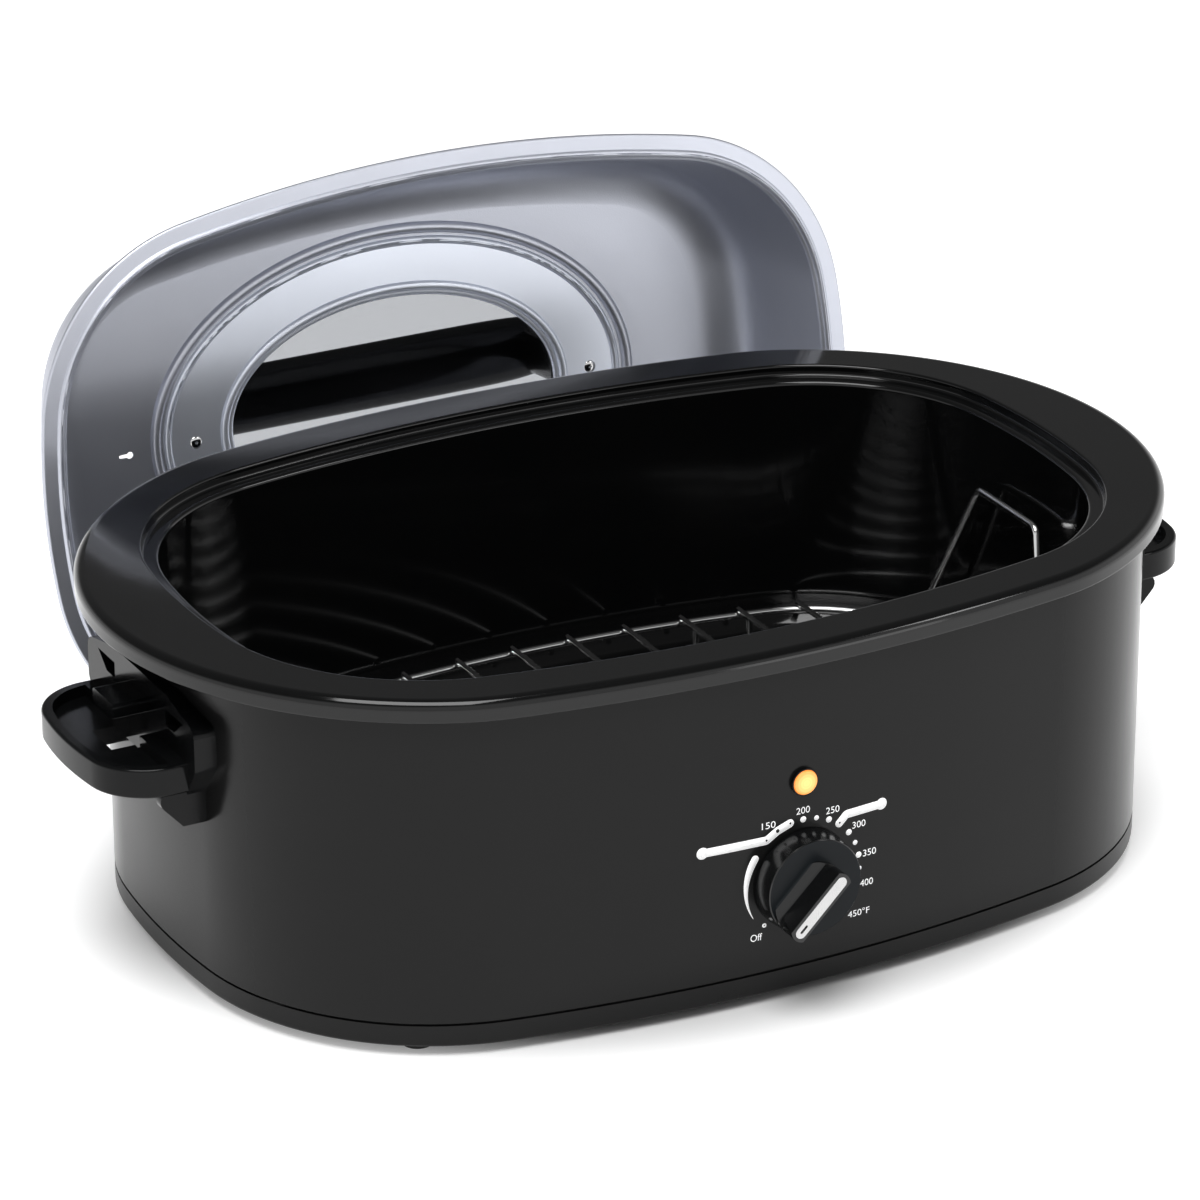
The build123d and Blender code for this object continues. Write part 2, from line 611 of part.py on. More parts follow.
with BuildPart() as thermostat_screws:
    for side in sides:
        seat_y = -wall_y(THERMOSTAT_SCREW_X) - SEAT
        pan_head_screw(
            Vector(side * THERMOSTAT_SCREW_X, seat_y, KNOB_Z),
            Y_DIR,
            SMALL_SCREW_RADIUS,
            plate_back_y - seat_y + THERMOSTAT_DEPTH / 4,
            SMALL_HEAD_RADIUS,
            KNOB_GAP / 2,
        )

# ---------------------------------------------------------------- knob
knob_axis = Axis((0, knob_back_y, KNOB_Z), (0, -1, 0))
pointing = Vector(cos(radians(OFF_ANGLE)), 0, sin(radians(OFF_ANGLE)))
outward = Vector(0, -1, 0)
knob_origin = Vector(0, knob_back_y, KNOB_Z)
knob_front = Plane(origin=knob_origin, x_dir=pointing, z_dir=outward)
knob_section = Plane(origin=knob_origin, x_dir=pointing, z_dir=pointing.cross(outward))
grip_section = Plane(origin=knob_origin, x_dir=outward.cross(pointing), z_dir=pointing)
hub_front = KNOB_DEPTH - KNOB_WALL
grip_top = KNOB_DEPTH + GRIP_DEPTH
socket_depth = grip_top - 2 * KNOB_WALL
bar_length = GRIP_TAIL_END + GRIP_POINTER_END
bar_middle = (GRIP_POINTER_END - GRIP_TAIL_END) / 2


def spindle_section(plane, gap):
    """The round spindle's section with its flat, grown by a gap."""
    with BuildSketch(plane) as section:
        Circle(SHAFT_RADIUS + gap)
        with Locations((2 * SHAFT_RADIUS - SHAFT_FLAT + gap, 0)):
            Rectangle(2 * SHAFT_RADIUS, 4 * SHAFT_RADIUS, mode=Mode.SUBTRACT)
    return section.sketch


def cut_to_plan(width):
    """Keep what lies inside a bar's round-ended plan."""
    with BuildSketch(knob_front) as plan:
        with Locations((bar_middle, 0)):
            SlotOverall(bar_length, width)
    extrude(plan.sketch, amount=2 * grip_top, mode=Mode.INTERSECT)


grip_foot = (GRIP_FOOT_WIDTH / 2, KNOB_DEPTH + GRIP_FLARE_RISE)
flare_foot = (GRIP_FLARE_WIDTH / 2, KNOB_DEPTH - KNOB_EDGE)
flare_middle = ((grip_foot[0] + flare_foot[0]) / 2, KNOB_DEPTH + KNOB_EDGE)

with BuildPart() as grip_flare:
    with BuildSketch(grip_section.offset(-GRIP_TAIL_END)) as flare_profile:
        with BuildLine():
            Line((0, flare_foot[1]), flare_foot)
            ThreePointArc(flare_foot, flare_middle, grip_foot)
            Line(grip_foot, (0, grip_foot[1]))
            mirror(about=Plane.YZ)
        make_face()
    extrude(flare_profile.sketch, amount=bar_length)
    cut_to_plan(GRIP_FLARE_WIDTH - 2 * KNOB_EDGE)

with BuildPart() as grip_bar:
    with BuildSketch(grip_section.offset(-GRIP_TAIL_END)) as bar_profile:
        with BuildLine():
            Line((0, hub_front), (grip_foot[0], hub_front))
            Line((grip_foot[0], hub_front), grip_foot)
            Line(grip_foot, (GRIP_TOP_WIDTH / 2, grip_top))
            Line((GRIP_TOP_WIDTH / 2, grip_top), (0, grip_top))
            mirror(about=Plane.YZ)
        make_face()
    extrude(bar_profile.sketch, amount=bar_length)
    cut_to_plan(GRIP_FOOT_WIDTH)

with BuildPart() as knob:
    with BuildSketch(knob_section) as skirt_profile:
        with BuildLine():
            Polyline(
                (0, KNOB_HUB_SETBACK),
                (KNOB_HUB_RADIUS, KNOB_HUB_SETBACK),
                (KNOB_HUB_RADIUS, hub_front),
                (KNOB_SKIRT_RADIUS - KNOB_WALL, hub_front),
                (KNOB_SKIRT_RADIUS - KNOB_WALL, 0),
                (KNOB_SKIRT_RADIUS, 0),
                (KNOB_FACE_RADIUS + KNOB_EDGE, KNOB_DEPTH - KNOB_EDGE),
                (KNOB_FACE_RADIUS, KNOB_DEPTH),
                (0, KNOB_DEPTH),
                close=True,
            )
        make_face()
    revolve(skirt_profile.sketch, axis=knob_axis)
    add(grip_flare.part)
    add(grip_bar.part)
    extrude(spindle_section(knob_front, SEAT), amount=socket_depth, mode=Mode.SUBTRACT)
    with BuildSketch(knob_front.offset(grip_top)) as pocket:
        pocket_length = bar_length - 2 * POINTER_MARGIN + 2 * SEAT
        with Locations((bar_middle, 0)):
            SlotOverall(pocket_length, POINTER_WIDTH + 2 * SEAT)
    extrude(pocket.sketch, amount=-POINTER_DEPTH, mode=Mode.SUBTRACT)

with BuildPart() as knob_pointer:
    with BuildSketch(knob_front.offset(grip_top - POINTER_DEPTH + SEAT)) as strip:
        with Locations((bar_middle, 0)):
            SlotOverall(bar_length - 2 * POINTER_MARGIN, POINTER_WIDTH)
        slot_middle = GRIP_POINTER_END - POINTER_MARGIN - POINTER_SLOT_LENGTH
        with Locations((slot_middle, 0)):
            SlotOverall(POINTER_SLOT_LENGTH, POINTER_SLOT_WIDTH, mode=Mode.SUBTRACT)
    extrude(strip.sketch, amount=POINTER_DEPTH + 2 * SEAT)

with BuildPart() as knob_shaft:
    shaft_back_y = thermostat_front_y + SHAFT_RADIUS - SEAT
    shaft_length = shaft_back_y - knob_back_y + socket_depth - SEAT
    extrude(spindle_section(knob_front.offset(knob_back_y - shaft_back_y), 0), amount=shaft_length)

# ---------------------------------------------------------------- indicator lamp
with BuildPart() as lamp_bezel:
    bezel_front = Vector(0, front_y - LAMP_BEZEL_PROUD, LAMP_Z)
    bezel_length = LAMP_BEZEL_PROUD + LAMP_LENGTH
    bore(bezel_front, Y_DIR, LAMP_RADIUS + LAMP_BEZEL_WALL, bezel_length, mode=Mode.ADD)
    bore(bezel_front, Y_DIR, LAMP_RADIUS, bezel_length - LAMP_CLIP_WALL)

with BuildPart() as lamp_lens:
    lens_front = Vector(0, front_y - LAMP_LENS_PROUD, LAMP_Z)
    lens_length = LAMP_LENS_PROUD + LAMP_LENGTH / 2
    bore(lens_front, Y_DIR, LAMP_RADIUS - SEAT, lens_length, mode=Mode.ADD)
    fillet(lamp_lens.faces().sort_by(Axis.Y)[0].edges(), radius=LAMP_LENS_PROUD / 2)

with BuildPart() as lamp_clip:
    clip_front_y = inner_front_y + SEAT + LAMP_CLIP_WIDTH**2 / (8 * BODY.side_radius)
    block(
        (-LAMP_CLIP_WIDTH / 2, LAMP_CLIP_WIDTH / 2),
        (clip_front_y, clip_front_y + LAMP_CLIP_WALL),
        (LAMP_Z - LAMP_CLIP_WIDTH / 2, LAMP_Z + LAMP_CLIP_WIDTH / 2),
    )
    bore((0, front_y, LAMP_Z), Y_DIR, LAMP_RADIUS + LAMP_BEZEL_WALL + SEAT, -front_y)

# ---------------------------------------------------------------- cord gland and terminals
with BuildPart() as cord_gland:
    inner_end_x = BODY.half_length - SHELL_WALL - GLAND_INSIDE
    outer_end_x = BODY.half_length + GLAND_PROUD
    bore((inner_end_x, 0, GLAND_Z), X_DIR, GLAND_RADIUS, outer_end_x - inner_end_x, mode=Mode.ADD)
    flange_x = BODY.half_length + SEAT
    bore((flange_x, 0, GLAND_Z), X_DIR, GLAND_FLANGE_RADIUS, GLAND_FLANGE, mode=Mode.ADD)
    bore((inner_end_x, 0, GLAND_Z), X_DIR, GLAND_BORE, outer_end_x - inner_end_x)

with BuildPart() as terminal_block:
    block(
        (TERMINAL_X - TERMINAL_WIDTH / 2, TERMINAL_X + TERMINAL_WIDTH / 2),
        (-TERMINAL_LENGTH / 2, TERMINAL_LENGTH / 2),
        (BASE_FLOOR_Z + SEAT, BASE_FLOOR_Z + TERMINAL_HEIGHT),
    )
    fillet(terminal_block.edges().filter_by(Axis.Z), radius=TERMINAL_WIDTH / 8)



def wire(path, radius):
    """A round wire along a path, in the part being built."""
    with BuildSketch(Plane(origin=path @ 0, z_dir=path % 0)) as section:
        Circle(radius)
    sweep(section.sketch, path=path)


def bent_wire(points, radius, bend):
    """A wire through a row of corners rounded by one radius, or by a list, one for each."""
    with BuildLine(mode=Mode.PRIVATE) as route:
        FilletPolyline(*points, radius=bend)
    wire(route.wires()[0], radius)


terminal_back_x = TERMINAL_X - TERMINAL_WIDTH / 2 - SEAT
terminal_front_x = TERMINAL_X + TERMINAL_WIDTH / 2 + SEAT
lead_y = (thermostat_front_y + thermostat_back_y) / 2
thermostat_bottom_z = KNOB_Z - THERMOSTAT_HEIGHT / 2 - SEAT
thermostat_top_z = KNOB_Z + THERMOSTAT_HEIGHT / 2 + SEAT
terminal_drop = WELL_TOP - ELEMENT_TERMINAL_Z - LEAD_RADIUS
element_face = inset(well_outside, terminal_drop * tan(radians(WELL_DRAFT)) - element_gap)
lead_rise_x = BODY.half_length - LEAD_GAP
lamp_back_y = front_y + LAMP_LENGTH + SEAT
lamp_lead_y = lamp_back_y + 2 * LAMP_LEAD_BEND + SEAT
lamp_bend_z = (LAMP_Z + thermostat_top_z) / 2

with BuildPart() as internal_leads:
    # live, along the base to the thermostat
    bent_wire(
        (
            (terminal_back_x, -LEAD_SPREAD, LEAD_Z),
            (LEAD_SPREAD, -LEAD_SPREAD, LEAD_Z),
            (LEAD_SPREAD, lead_y, LEAD_Z),
            (LEAD_SPREAD, lead_y, thermostat_bottom_z),
        ),
        LEAD_RADIUS,
        LEAD_WIDE_BEND,
    )
    # from the thermostat to the front terminal of the element
    bent_wire(
        (
            (-LEAD_SPREAD, lead_y, thermostat_bottom_z),
            (-LEAD_SPREAD, lead_y, thermostat_bottom_z - 2 * LEAD_BEND),
            (-ELEMENT_TERMINAL_X, lead_y, thermostat_bottom_z - 2 * LEAD_BEND),
            (-ELEMENT_TERMINAL_X, lead_y, ELEMENT_TERMINAL_Z),
            (-ELEMENT_TERMINAL_X, -wall_y(ELEMENT_TERMINAL_X, element_face), ELEMENT_TERMINAL_Z),
        ),
        LEAD_RADIUS,
        LEAD_BEND,
    )
    # neutral, straight up to the end terminal of the element
    bent_wire(
        (
            (terminal_front_x, LEAD_SPREAD, LEAD_Z),
            (lead_rise_x, LEAD_SPREAD, LEAD_Z),
            (lead_rise_x, LEAD_SPREAD, ELEMENT_TERMINAL_Z),
            (wall_x(LEAD_SPREAD, element_face), LEAD_SPREAD, ELEMENT_TERMINAL_Z),
        ),
        LEAD_RADIUS,
        [LEAD_WIDE_BEND, LEAD_BEND],
    )
    # two thin ones from the thermostat up to the lamp
    for side in sides:
        x = side * LAMP_LEAD_SPREAD
        bent_wire(
            (
                (x, lead_y, thermostat_top_z),
                (x, lead_y, lamp_bend_z),
                (x, lamp_lead_y, lamp_bend_z),
                (x, lamp_lead_y, LAMP_Z),
                (x, lamp_back_y, LAMP_Z),
            ),
            LAMP_LEAD_RADIUS,
            LAMP_LEAD_BEND,
        )

# ---------------------------------------------------------------- side handles
tray_straight = HANDLE_REACH - HANDLE_BOW
handle_inside_x = BODY.half_length - HANDLE_WRAP
handle_depth = HANDLE_REACH - handle_inside_x
recess_x = PLATE_REACH + TRAY_GAP


def tray_outline(margin):
    """Plan of the grip: straight sides, a bowed outer edge and round corners."""
    half = HANDLE_HALF_WIDTH - margin
    with BuildSketch(Plane.XY) as plan:
        with BuildLine():
            Line((handle_inside_x, half), (handle_inside_x, -half))
            Line((handle_inside_x, -half), (tray_straight - margin, -half))
            ThreePointArc(
                (tray_straight - margin, -half),
                (HANDLE_REACH - margin, 0),
                (tray_straight - margin, half),
            )
            Line((tray_straight - margin, half), (handle_inside_x, half))
        make_face()
        fillet(plan.vertices().group_by(Axis.X)[-1], radius=HANDLE_CORNER - margin)
    return plan.sketch


with BuildPart() as right_handle:
    # the grip, with a raised lip round a recess
    extrude(Plane.XY.offset(HANDLE_UNDER_Z) * tray_outline(0), amount=HANDLE_THICKNESS)
    tray_ends = right_handle.faces().filter_by(Plane.XY)
    fillet([edge for face in tray_ends for edge in face.edges()], radius=HANDLE_EDGE)
    with BuildSketch(Plane.XY.offset(HANDLE_TRAY_Z)) as recess:
        add(tray_outline(TRAY_LIP))
        with Locations((recess_x - handle_depth, 0)):
            Rectangle(2 * handle_depth, 4 * HANDLE_HALF_WIDTH, mode=Mode.SUBTRACT)
    extrude(recess.sketch, amount=-TRAY_RECESS, mode=Mode.SUBTRACT)
    # the plate against the shell, with a leg at each side
    with BuildSketch(Plane.YZ.offset(handle_inside_x)) as plate:
        with BuildLine():
            Polyline(
                (0, PLATE_TOP_Z),
                (PLATE_TOP_HALF_WIDTH, PLATE_TOP_Z),
                (PLATE_HALF_WIDTH, PLATE_SHOULDER_Z),
                (PLATE_HALF_WIDTH, PLATE_SIDE_Z),
                (PLATE_LEG_OUTER, PLATE_ARCH_Z),
                (PLATE_LEG_OUTER, PLATE_LEG_BOTTOM),
                (PLATE_LEG_INNER, PLATE_LEG_BOTTOM),
                (PLATE_LEG_INNER, PLATE_ARCH_Z),
                (0, PLATE_ARCH_Z),
            )
            mirror(about=Plane.YZ)
        make_face()
        widest = plate.vertices().filter_by(lambda corner: abs(corner.X) > PLATE_LEG_OUTER + FIT)
        fillet(widest, radius=PLATE_ROUND)
        leg_ends = plate.vertices().filter_by(lambda corner: corner.Y < PLATE_ARCH_Z - FIT)
        fillet(leg_ends, radius=(PLATE_LEG_OUTER - PLATE_LEG_INNER) / 2 - FIT)
    extrude(plate.sketch, amount=PLATE_REACH - handle_inside_x)
    # gussets that carry the grip on the legs
    for side in sides:
        inner_y = side * (PLATE_LEG_OUTER - GUSSET_THICKNESS / 2)
        with BuildSketch(Plane.XZ.offset(-inner_y)) as gusset:
            with BuildLine():
                Polyline(
                    (handle_inside_x, HANDLE_UNDER_Z + HANDLE_EDGE),
                    (PLATE_REACH + GUSSET_LENGTH, HANDLE_UNDER_Z + HANDLE_EDGE),
                    (PLATE_REACH + GUSSET_FOOT, PLATE_LEG_BOTTOM),
                    (handle_inside_x, PLATE_LEG_BOTTOM),
                    close=True,
                )
            make_face()
            toe = gusset.vertices().group_by(Axis.Z)[0].sort_by(Axis.X)[-1]
            fillet(toe, radius=GUSSET_ROUND)
        extrude(gusset.sketch, amount=GUSSET_THICKNESS / 2, both=True)
    # the shelf that a hung lid rests on, over a slot through the grip
    with BuildSketch(Plane.YZ.offset(handle_inside_x)) as shelf:
        with Locations((0, REST_TOP_Z - REST_THICKNESS / 2)):
            RectangleRounded(2 * REST_HALF_WIDTH, REST_THICKNESS, REST_ROUND)
    extrude(shelf.sketch, amount=SLOT_REACH - REST_OVERHANG - handle_inside_x)
    slot_steps = (
        (SLOT_REACH, SLOT_HALF_WIDTH),
        (PLATE_REACH + SLOT_STEP, SLOT_WIDE_HALF_WIDTH),
    )
    for reach, half in slot_steps:
        block(
            (PLATE_REACH, reach),
            (-half, half),
            (HANDLE_UNDER_Z - HANDLE_EDGE, HANDLE_TRAY_Z + HANDLE_EDGE),
            mode=Mode.SUBTRACT,
        )
    with BuildSketch(Plane.YZ.offset(handle_inside_x)) as windows:
        with BuildLine():
            Polyline(
                (PLATE_WINDOW_INNER, PLATE_WINDOW_TOP),
                (PLATE_WINDOW_OUTER, PLATE_WINDOW_TOP),
                (PLATE_WINDOW_OUTER - PLATE_WINDOW_SLANT, PLATE_WINDOW_BOTTOM),
                (PLATE_WINDOW_INNER, PLATE_WINDOW_BOTTOM),
                close=True,
            )
        make_face()
        mirror(about=Plane.YZ)
    extrude(windows.sketch, amount=handle_depth, mode=Mode.SUBTRACT)
    for side in sides:
        start = (handle_inside_x, side * HANDLE_SCREW_Y, HANDLE_SCREW_Z)
        depth = handle_screw_x + HANDLE_SCREW_LENGTH + FIT - handle_inside_x
        bore(start, X_DIR, HANDLE_SCREW_RADIUS + SEAT, depth)
    extrude(
        oval_face(inset(BODY, -SEAT), PLATE_LEG_BOTTOM - HANDLE_EDGE),
        amount=PLATE_TOP_Z - PLATE_LEG_BOTTOM + 2 * HANDLE_EDGE,
        mode=Mode.SUBTRACT,
    )

with BuildPart() as left_handle:
    add(mirror(right_handle.part, about=Plane.YZ))

washer_x = wall_x(HANDLE_SCREW_Y + WASHER_RADIUS, inset(BODY, SHELL_WALL)) - SEAT
head_x = washer_x - WASHER_THICKNESS - SEAT

with BuildPart() as handle_washers:
    for x_side, y_side in corners:
        start = Vector(x_side * washer_x, y_side * HANDLE_SCREW_Y, HANDLE_SCREW_Z)
        bore(start, X_DIR * -x_side, WASHER_RADIUS, WASHER_THICKNESS, mode=Mode.ADD)
        bore(start, X_DIR * -x_side, HANDLE_SCREW_RADIUS + SEAT, WASHER_THICKNESS)

with BuildPart() as handle_screws:
    for x_side, y_side in corners:
        pan_head_screw(
            Vector(x_side * head_x, y_side * HANDLE_SCREW_Y, HANDLE_SCREW_Z),
            X_DIR * x_side,
            HANDLE_SCREW_RADIUS,
            handle_screw_x + HANDLE_SCREW_LENGTH - head_x,
            HANDLE_HEAD_RADIUS,
            HANDLE_HEAD_HEIGHT,
        )

# ---------------------------------------------------------------- rack
frame_z = PAN_FLOOR_Z + RACK_HEIGHT
frame_oval = inset(mouth, (LEDGE_Z - frame_z) * tan(radians(PAN_DRAFT)) + RACK_GAP)
cross_z = frame_z + WIRE_RADIUS + SEAT + CROSS_WIRE_RADIUS

with BuildPart() as rack_frame:
    frame_path = oval_face(frame_oval, frame_z).faces()[0].outer_wire()
    wire(frame_path, WIRE_RADIUS)

with BuildPart() as rack_cross_wires:
    for step in range(CROSS_WIRES):
        x = (step - (CROSS_WIRES - 1) / 2) * CROSS_WIRE_PITCH
        reach = wall_y(x, frame_oval)
        bore((x, -reach, cross_z), Y_DIR, CROSS_WIRE_RADIUS, 2 * reach, mode=Mode.ADD)

with BuildPart() as rack_lift_loops:
    for side in sides:
        foot_x = wall_x(LOOP_FOOT_HALF_WIDTH, frame_oval)
        top_x = frame_oval.half_length + LOOP_LEAN
        foot_z = frame_z + WIRE_RADIUS + SEAT
        bent_wire(
            (
                (side * foot_x, -LOOP_FOOT_HALF_WIDTH, foot_z),
                (side * foot_x, -LOOP_FOOT_HALF_WIDTH, foot_z + LOOP_FOOT_RISE),
                (side * top_x, -LOOP_HALF_WIDTH, LOOP_TOP_Z),
                (side * top_x, LOOP_HALF_WIDTH, LOOP_TOP_Z),
                (side * foot_x, LOOP_FOOT_HALF_WIDTH, foot_z + LOOP_FOOT_RISE),
                (side * foot_x, LOOP_FOOT_HALF_WIDTH, foot_z),
            ),
            WIRE_RADIUS,
            LOOP_BEND,
        )

with BuildPart() as rack_feet:
    foot_y = wall_y(RACK_FOOT_X, frame_oval) - RACK_FOOT_INSET
    foot_top = cross_z - CROSS_WIRE_RADIUS - SEAT
    foot_bottom = PAN_FLOOR_Z + FIT + CROSS_WIRE_RADIUS
    for x_side, y_side in corners:
        bent_wire(
            (
                (x_side * RACK_FOOT_X, y_side * foot_y, foot_top),
                (x_side * RACK_FOOT_X, y_side * foot_y, foot_bottom),
                (x_side * (RACK_FOOT_X - CROSS_WIRE_PITCH), y_side * foot_y, foot_bottom),
                (x_side * (RACK_FOOT_X - CROSS_WIRE_PITCH), y_side * foot_y, foot_top),
            ),
            CROSS_WIRE_RADIUS,
            RACK_FOOT_BEND,
        )

# ---------------------------------------------------------------- lid, parked on its edge
lean = radians(LID_TILT)
lid_centre = Vector(
    LID_PARK_X,
    LID_PARK_Y + LID.half_width * sin(lean),
    LID.half_width * cos(lean) + LID_WALL * sin(lean),
)
lid_front = Plane(origin=lid_centre, x_dir=(1, 0, 0), z_dir=(0, -cos(lean), sin(lean)))
dome_mouth = inset(LID, LID_FLANGE + 3 * LID_BEAD_RADIUS)
dome_back = -(LID_DEPTH + LID_WALL)


def oval_band(depth, half_length, half_height, width):
    """A flat oval band, this far behind the lid's flange."""
    with BuildSketch(lid_front.offset(-depth)) as band:
        Ellipse(half_length, half_height)
        Ellipse(half_length - width, half_height - width, mode=Mode.SUBTRACT)
    return band.sketch


def round_crest(bead):
    """Soften the front edges of a bead."""
    crest = bead.faces().sort_by(Axis(lid_centre, lid_front.z_dir))[-1]
    fillet(crest.edges(), radius=BEAD_ROUND)


ring_bead_size = (RING_HALF_LENGTH, RING_HALF_HEIGHT, RING_BEAD_WIDTH)
window_bead_size = (
    WINDOW_HALF_LENGTH + WINDOW_BEAD_WIDTH,
    WINDOW_HALF_HEIGHT + WINDOW_BEAD_WIDTH,
    WINDOW_BEAD_WIDTH,
)

with BuildPart() as ring_bead:
    extrude(oval_band(LID_DEPTH, *ring_bead_size), amount=RING_BEAD_HEIGHT)
    round_crest(ring_bead)

with BuildPart() as window_bead:
    extrude(oval_band(LID_DEPTH, *window_bead_size), amount=RING_BEAD_HEIGHT)
    round_crest(window_bead)

with BuildPart() as dome_cavity:
    extrude(oval_face(dome_mouth, 0, lid_front), amount=-LID_DEPTH, taper=LID_WALL_DRAFT)
    far_face = dome_cavity.faces().sort_by(Axis(lid_centre, lid_front.z_dir))[0]
    fillet(far_face.edges(), radius=LID_SHOULDER - LID_WALL)

with BuildPart() as lid_dome:
    extrude(
        oval_face(inset(dome_mouth, -LID_WALL), 0, lid_front),
        amount=dome_back,
        taper=LID_WALL_DRAFT,
    )
    far_face = lid_dome.faces().sort_by(Axis(lid_centre, lid_front.z_dir))[0]
    fillet(far_face.edges(), radius=LID_SHOULDER)
    extrude(oval_face(LID, 0, lid_front), amount=-LID_WALL)
    extrude(oval_face(inset(LID, LID_FLANGE), 0, lid_front), amount=LID_BEAD_RADIUS / 2)
    add(dome_cavity.part, mode=Mode.SUBTRACT)
    extrude(oval_face(dome_mouth, 0, lid_front), amount=LID_BEAD_RADIUS, mode=Mode.SUBTRACT)
    add(ring_bead.part)
    add(window_bead.part)
    # each bead is pressed from outside, so it leaves a groove there
    for half_length, half_height, width in (ring_bead_size, window_bead_size):
        groove = oval_band(
            -dome_back, half_length - LID_WALL, half_height - LID_WALL, width - 2 * LID_WALL
        )
        extrude(groove, amount=RING_BEAD_HEIGHT, mode=Mode.SUBTRACT)
    with BuildSketch(lid_front.offset(-LID_DEPTH + RING_BEAD_HEIGHT)) as cuts:
        Ellipse(WINDOW_HALF_LENGTH, WINDOW_HALF_HEIGHT)
        for side in sides:
            with Locations((side * LID_HANDLE_SCREW_X, 0)):
                Circle(LID_SCREW_RADIUS + FIT / 2)
        with Locations((-VENT_SLOT_X, 0)):
            SlotOverall(VENT_SLOT_LENGTH, VENT_SLOT_RADIUS)
        with Locations((-VENT_SLOT_X + VENT_SLOT_LENGTH / 2 - VENT_SLOT_RADIUS, 0)):
            Circle(VENT_SLOT_RADIUS)
    extrude(cuts.sketch, amount=-2 * (RING_BEAD_HEIGHT + LID_WALL), mode=Mode.SUBTRACT)

with BuildPart() as lid_window:
    with BuildSketch(lid_front.offset(dome_back - SEAT)) as pane:
        Ellipse(WINDOW_HALF_LENGTH + GLASS_OVERLAP, WINDOW_HALF_HEIGHT + GLASS_OVERLAP)
    extrude(pane.sketch, amount=-GLASS_THICKNESS)

with BuildPart() as window_seal:
    seal_half_length = WINDOW_HALF_LENGTH + GLASS_OVERLAP + SEAT
    seal_half_height = WINDOW_HALF_HEIGHT + GLASS_OVERLAP + SEAT
    with BuildSketch(lid_front.offset(dome_back - SEAT)) as band:
        Ellipse(seal_half_length + SEAL_WALL, seal_half_height + SEAL_WALL)
        Ellipse(seal_half_length, seal_half_height, mode=Mode.SUBTRACT)
    extrude(band.sketch, amount=-(GLASS_THICKNESS + 2 * SEAT + SEAL_WALL))
    with BuildSketch(lid_front.offset(dome_back - GLASS_THICKNESS - 2 * SEAT)) as fold:
        Ellipse(seal_half_length + SEAL_WALL, seal_half_height + SEAL_WALL)
        Ellipse(WINDOW_HALF_LENGTH, WINDOW_HALF_HEIGHT, mode=Mode.SUBTRACT)
    extrude(fold.sketch, amount=-SEAL_WALL)

handle_near = dome_back - LID_HANDLE_STANDOFF

with BuildPart() as lid_handle:
    with BuildSketch(lid_front.offset(handle_near)) as bar:
        RectangleRounded(
            2 * LID_HANDLE_HALF_LENGTH, 2 * LID_HANDLE_HALF_HEIGHT, LID_HANDLE_CORNER
        )
    extrude(bar.sketch, amount=-LID_HANDLE_THICKNESS)
    fillet(lid_handle.faces().filter_by(lid_front).edges(), radius=LID_HANDLE_ROUND)
    with BuildSketch(lid_front.offset(dome_back - SEAT)) as posts:
        for side in sides:
            with Locations((side * LID_HANDLE_SCREW_X, 0)):
                RectangleRounded(LID_POST_LENGTH, LID_POST_HEIGHT, LID_POST_CORNER)
    extrude(posts.sketch, amount=-(LID_HANDLE_STANDOFF + LID_HANDLE_THICKNESS / 2))
    for side in sides:
        start = lid_front.from_local_coords((side * LID_HANDLE_SCREW_X, 0, dome_back))
        bore(start, -lid_front.z_dir, LID_SCREW_RADIUS + SEAT, LID_SCREW_LENGTH)

with BuildPart() as lid_handle_screws:
    for side in sides:
        seat = lid_front.from_local_coords((side * LID_HANDLE_SCREW_X, 0, -LID_DEPTH + SEAT))
        pan_head_screw(
            seat,
            -lid_front.z_dir,
            LID_SCREW_RADIUS,
            LID_SCREW_LENGTH,
            LID_SCREW_HEAD_RADIUS,
            LID_SCREW_HEAD_HEIGHT,
        )

# ---------------------------------------------------------------- write the sub-parts
sub_parts = {
    "outer_shell": outer_shell,
    "base_tray": base_tray,
    "feet": feet,
    "foot_screws": foot_screws,
    "corner_brackets": corner_brackets,
    "heating_well": heating_well,
    "heating_element": heating_element,
    "insulation_blanket": insulation_blanket,
    "heat_shield": heat_shield,
    "shield_spacers": shield_spacers,
    "thermostat": thermostat,
    "thermostat_plate": thermostat_plate,
    "thermostat_sensor": thermostat_sensor,
    "thermostat_screws": thermostat_screws,
    "knob": knob,
    "knob_pointer": knob_pointer,
    "knob_shaft": knob_shaft,
    "lamp_bezel": lamp_bezel,
    "lamp_lens": lamp_lens,
    "lamp_clip": lamp_clip,
    "cord_gland": cord_gland,
    "terminal_block": terminal_block,
    "internal_leads": internal_leads,
    "left_handle": left_handle,
    "right_handle": right_handle,
    "handle_washers": handle_washers,
    "handle_screws": handle_screws,
    "roasting_pan": roasting_pan,
    "rack_frame": rack_frame,
    "rack_cross_wires": rack_cross_wires,
    "rack_lift_loops": rack_lift_loops,
    "rack_feet": rack_feet,
    "lid_dome": lid_dome,
    "lid_window": lid_window,
    "window_seal": window_seal,
    "lid_handle": lid_handle,
    "lid_handle_screws": lid_handle_screws,
}

os.makedirs("parts", exist_ok=True)
for name, builder in sub_parts.items():
    builder.part.label = name
    export_step(builder.part, f"parts/{name}.step")
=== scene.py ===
# %% [markdown]
# # An electric roaster oven, dressed for a picture
#
# The solids of the roaster come from its CAD model: an oval shell on four feet, a lift-out
# pan, a wire rack, a knob, and a domed lid that stands on its edge behind it. This script
# loads them, builds finer surfaces over the ones that show, and gives every piece its finish.
#
# Everything is in metres, in the frame of the CAD model: the counter is z = 0, the long side
# runs along X, and the controls face -Y.

# %% Load the CAD model
import math

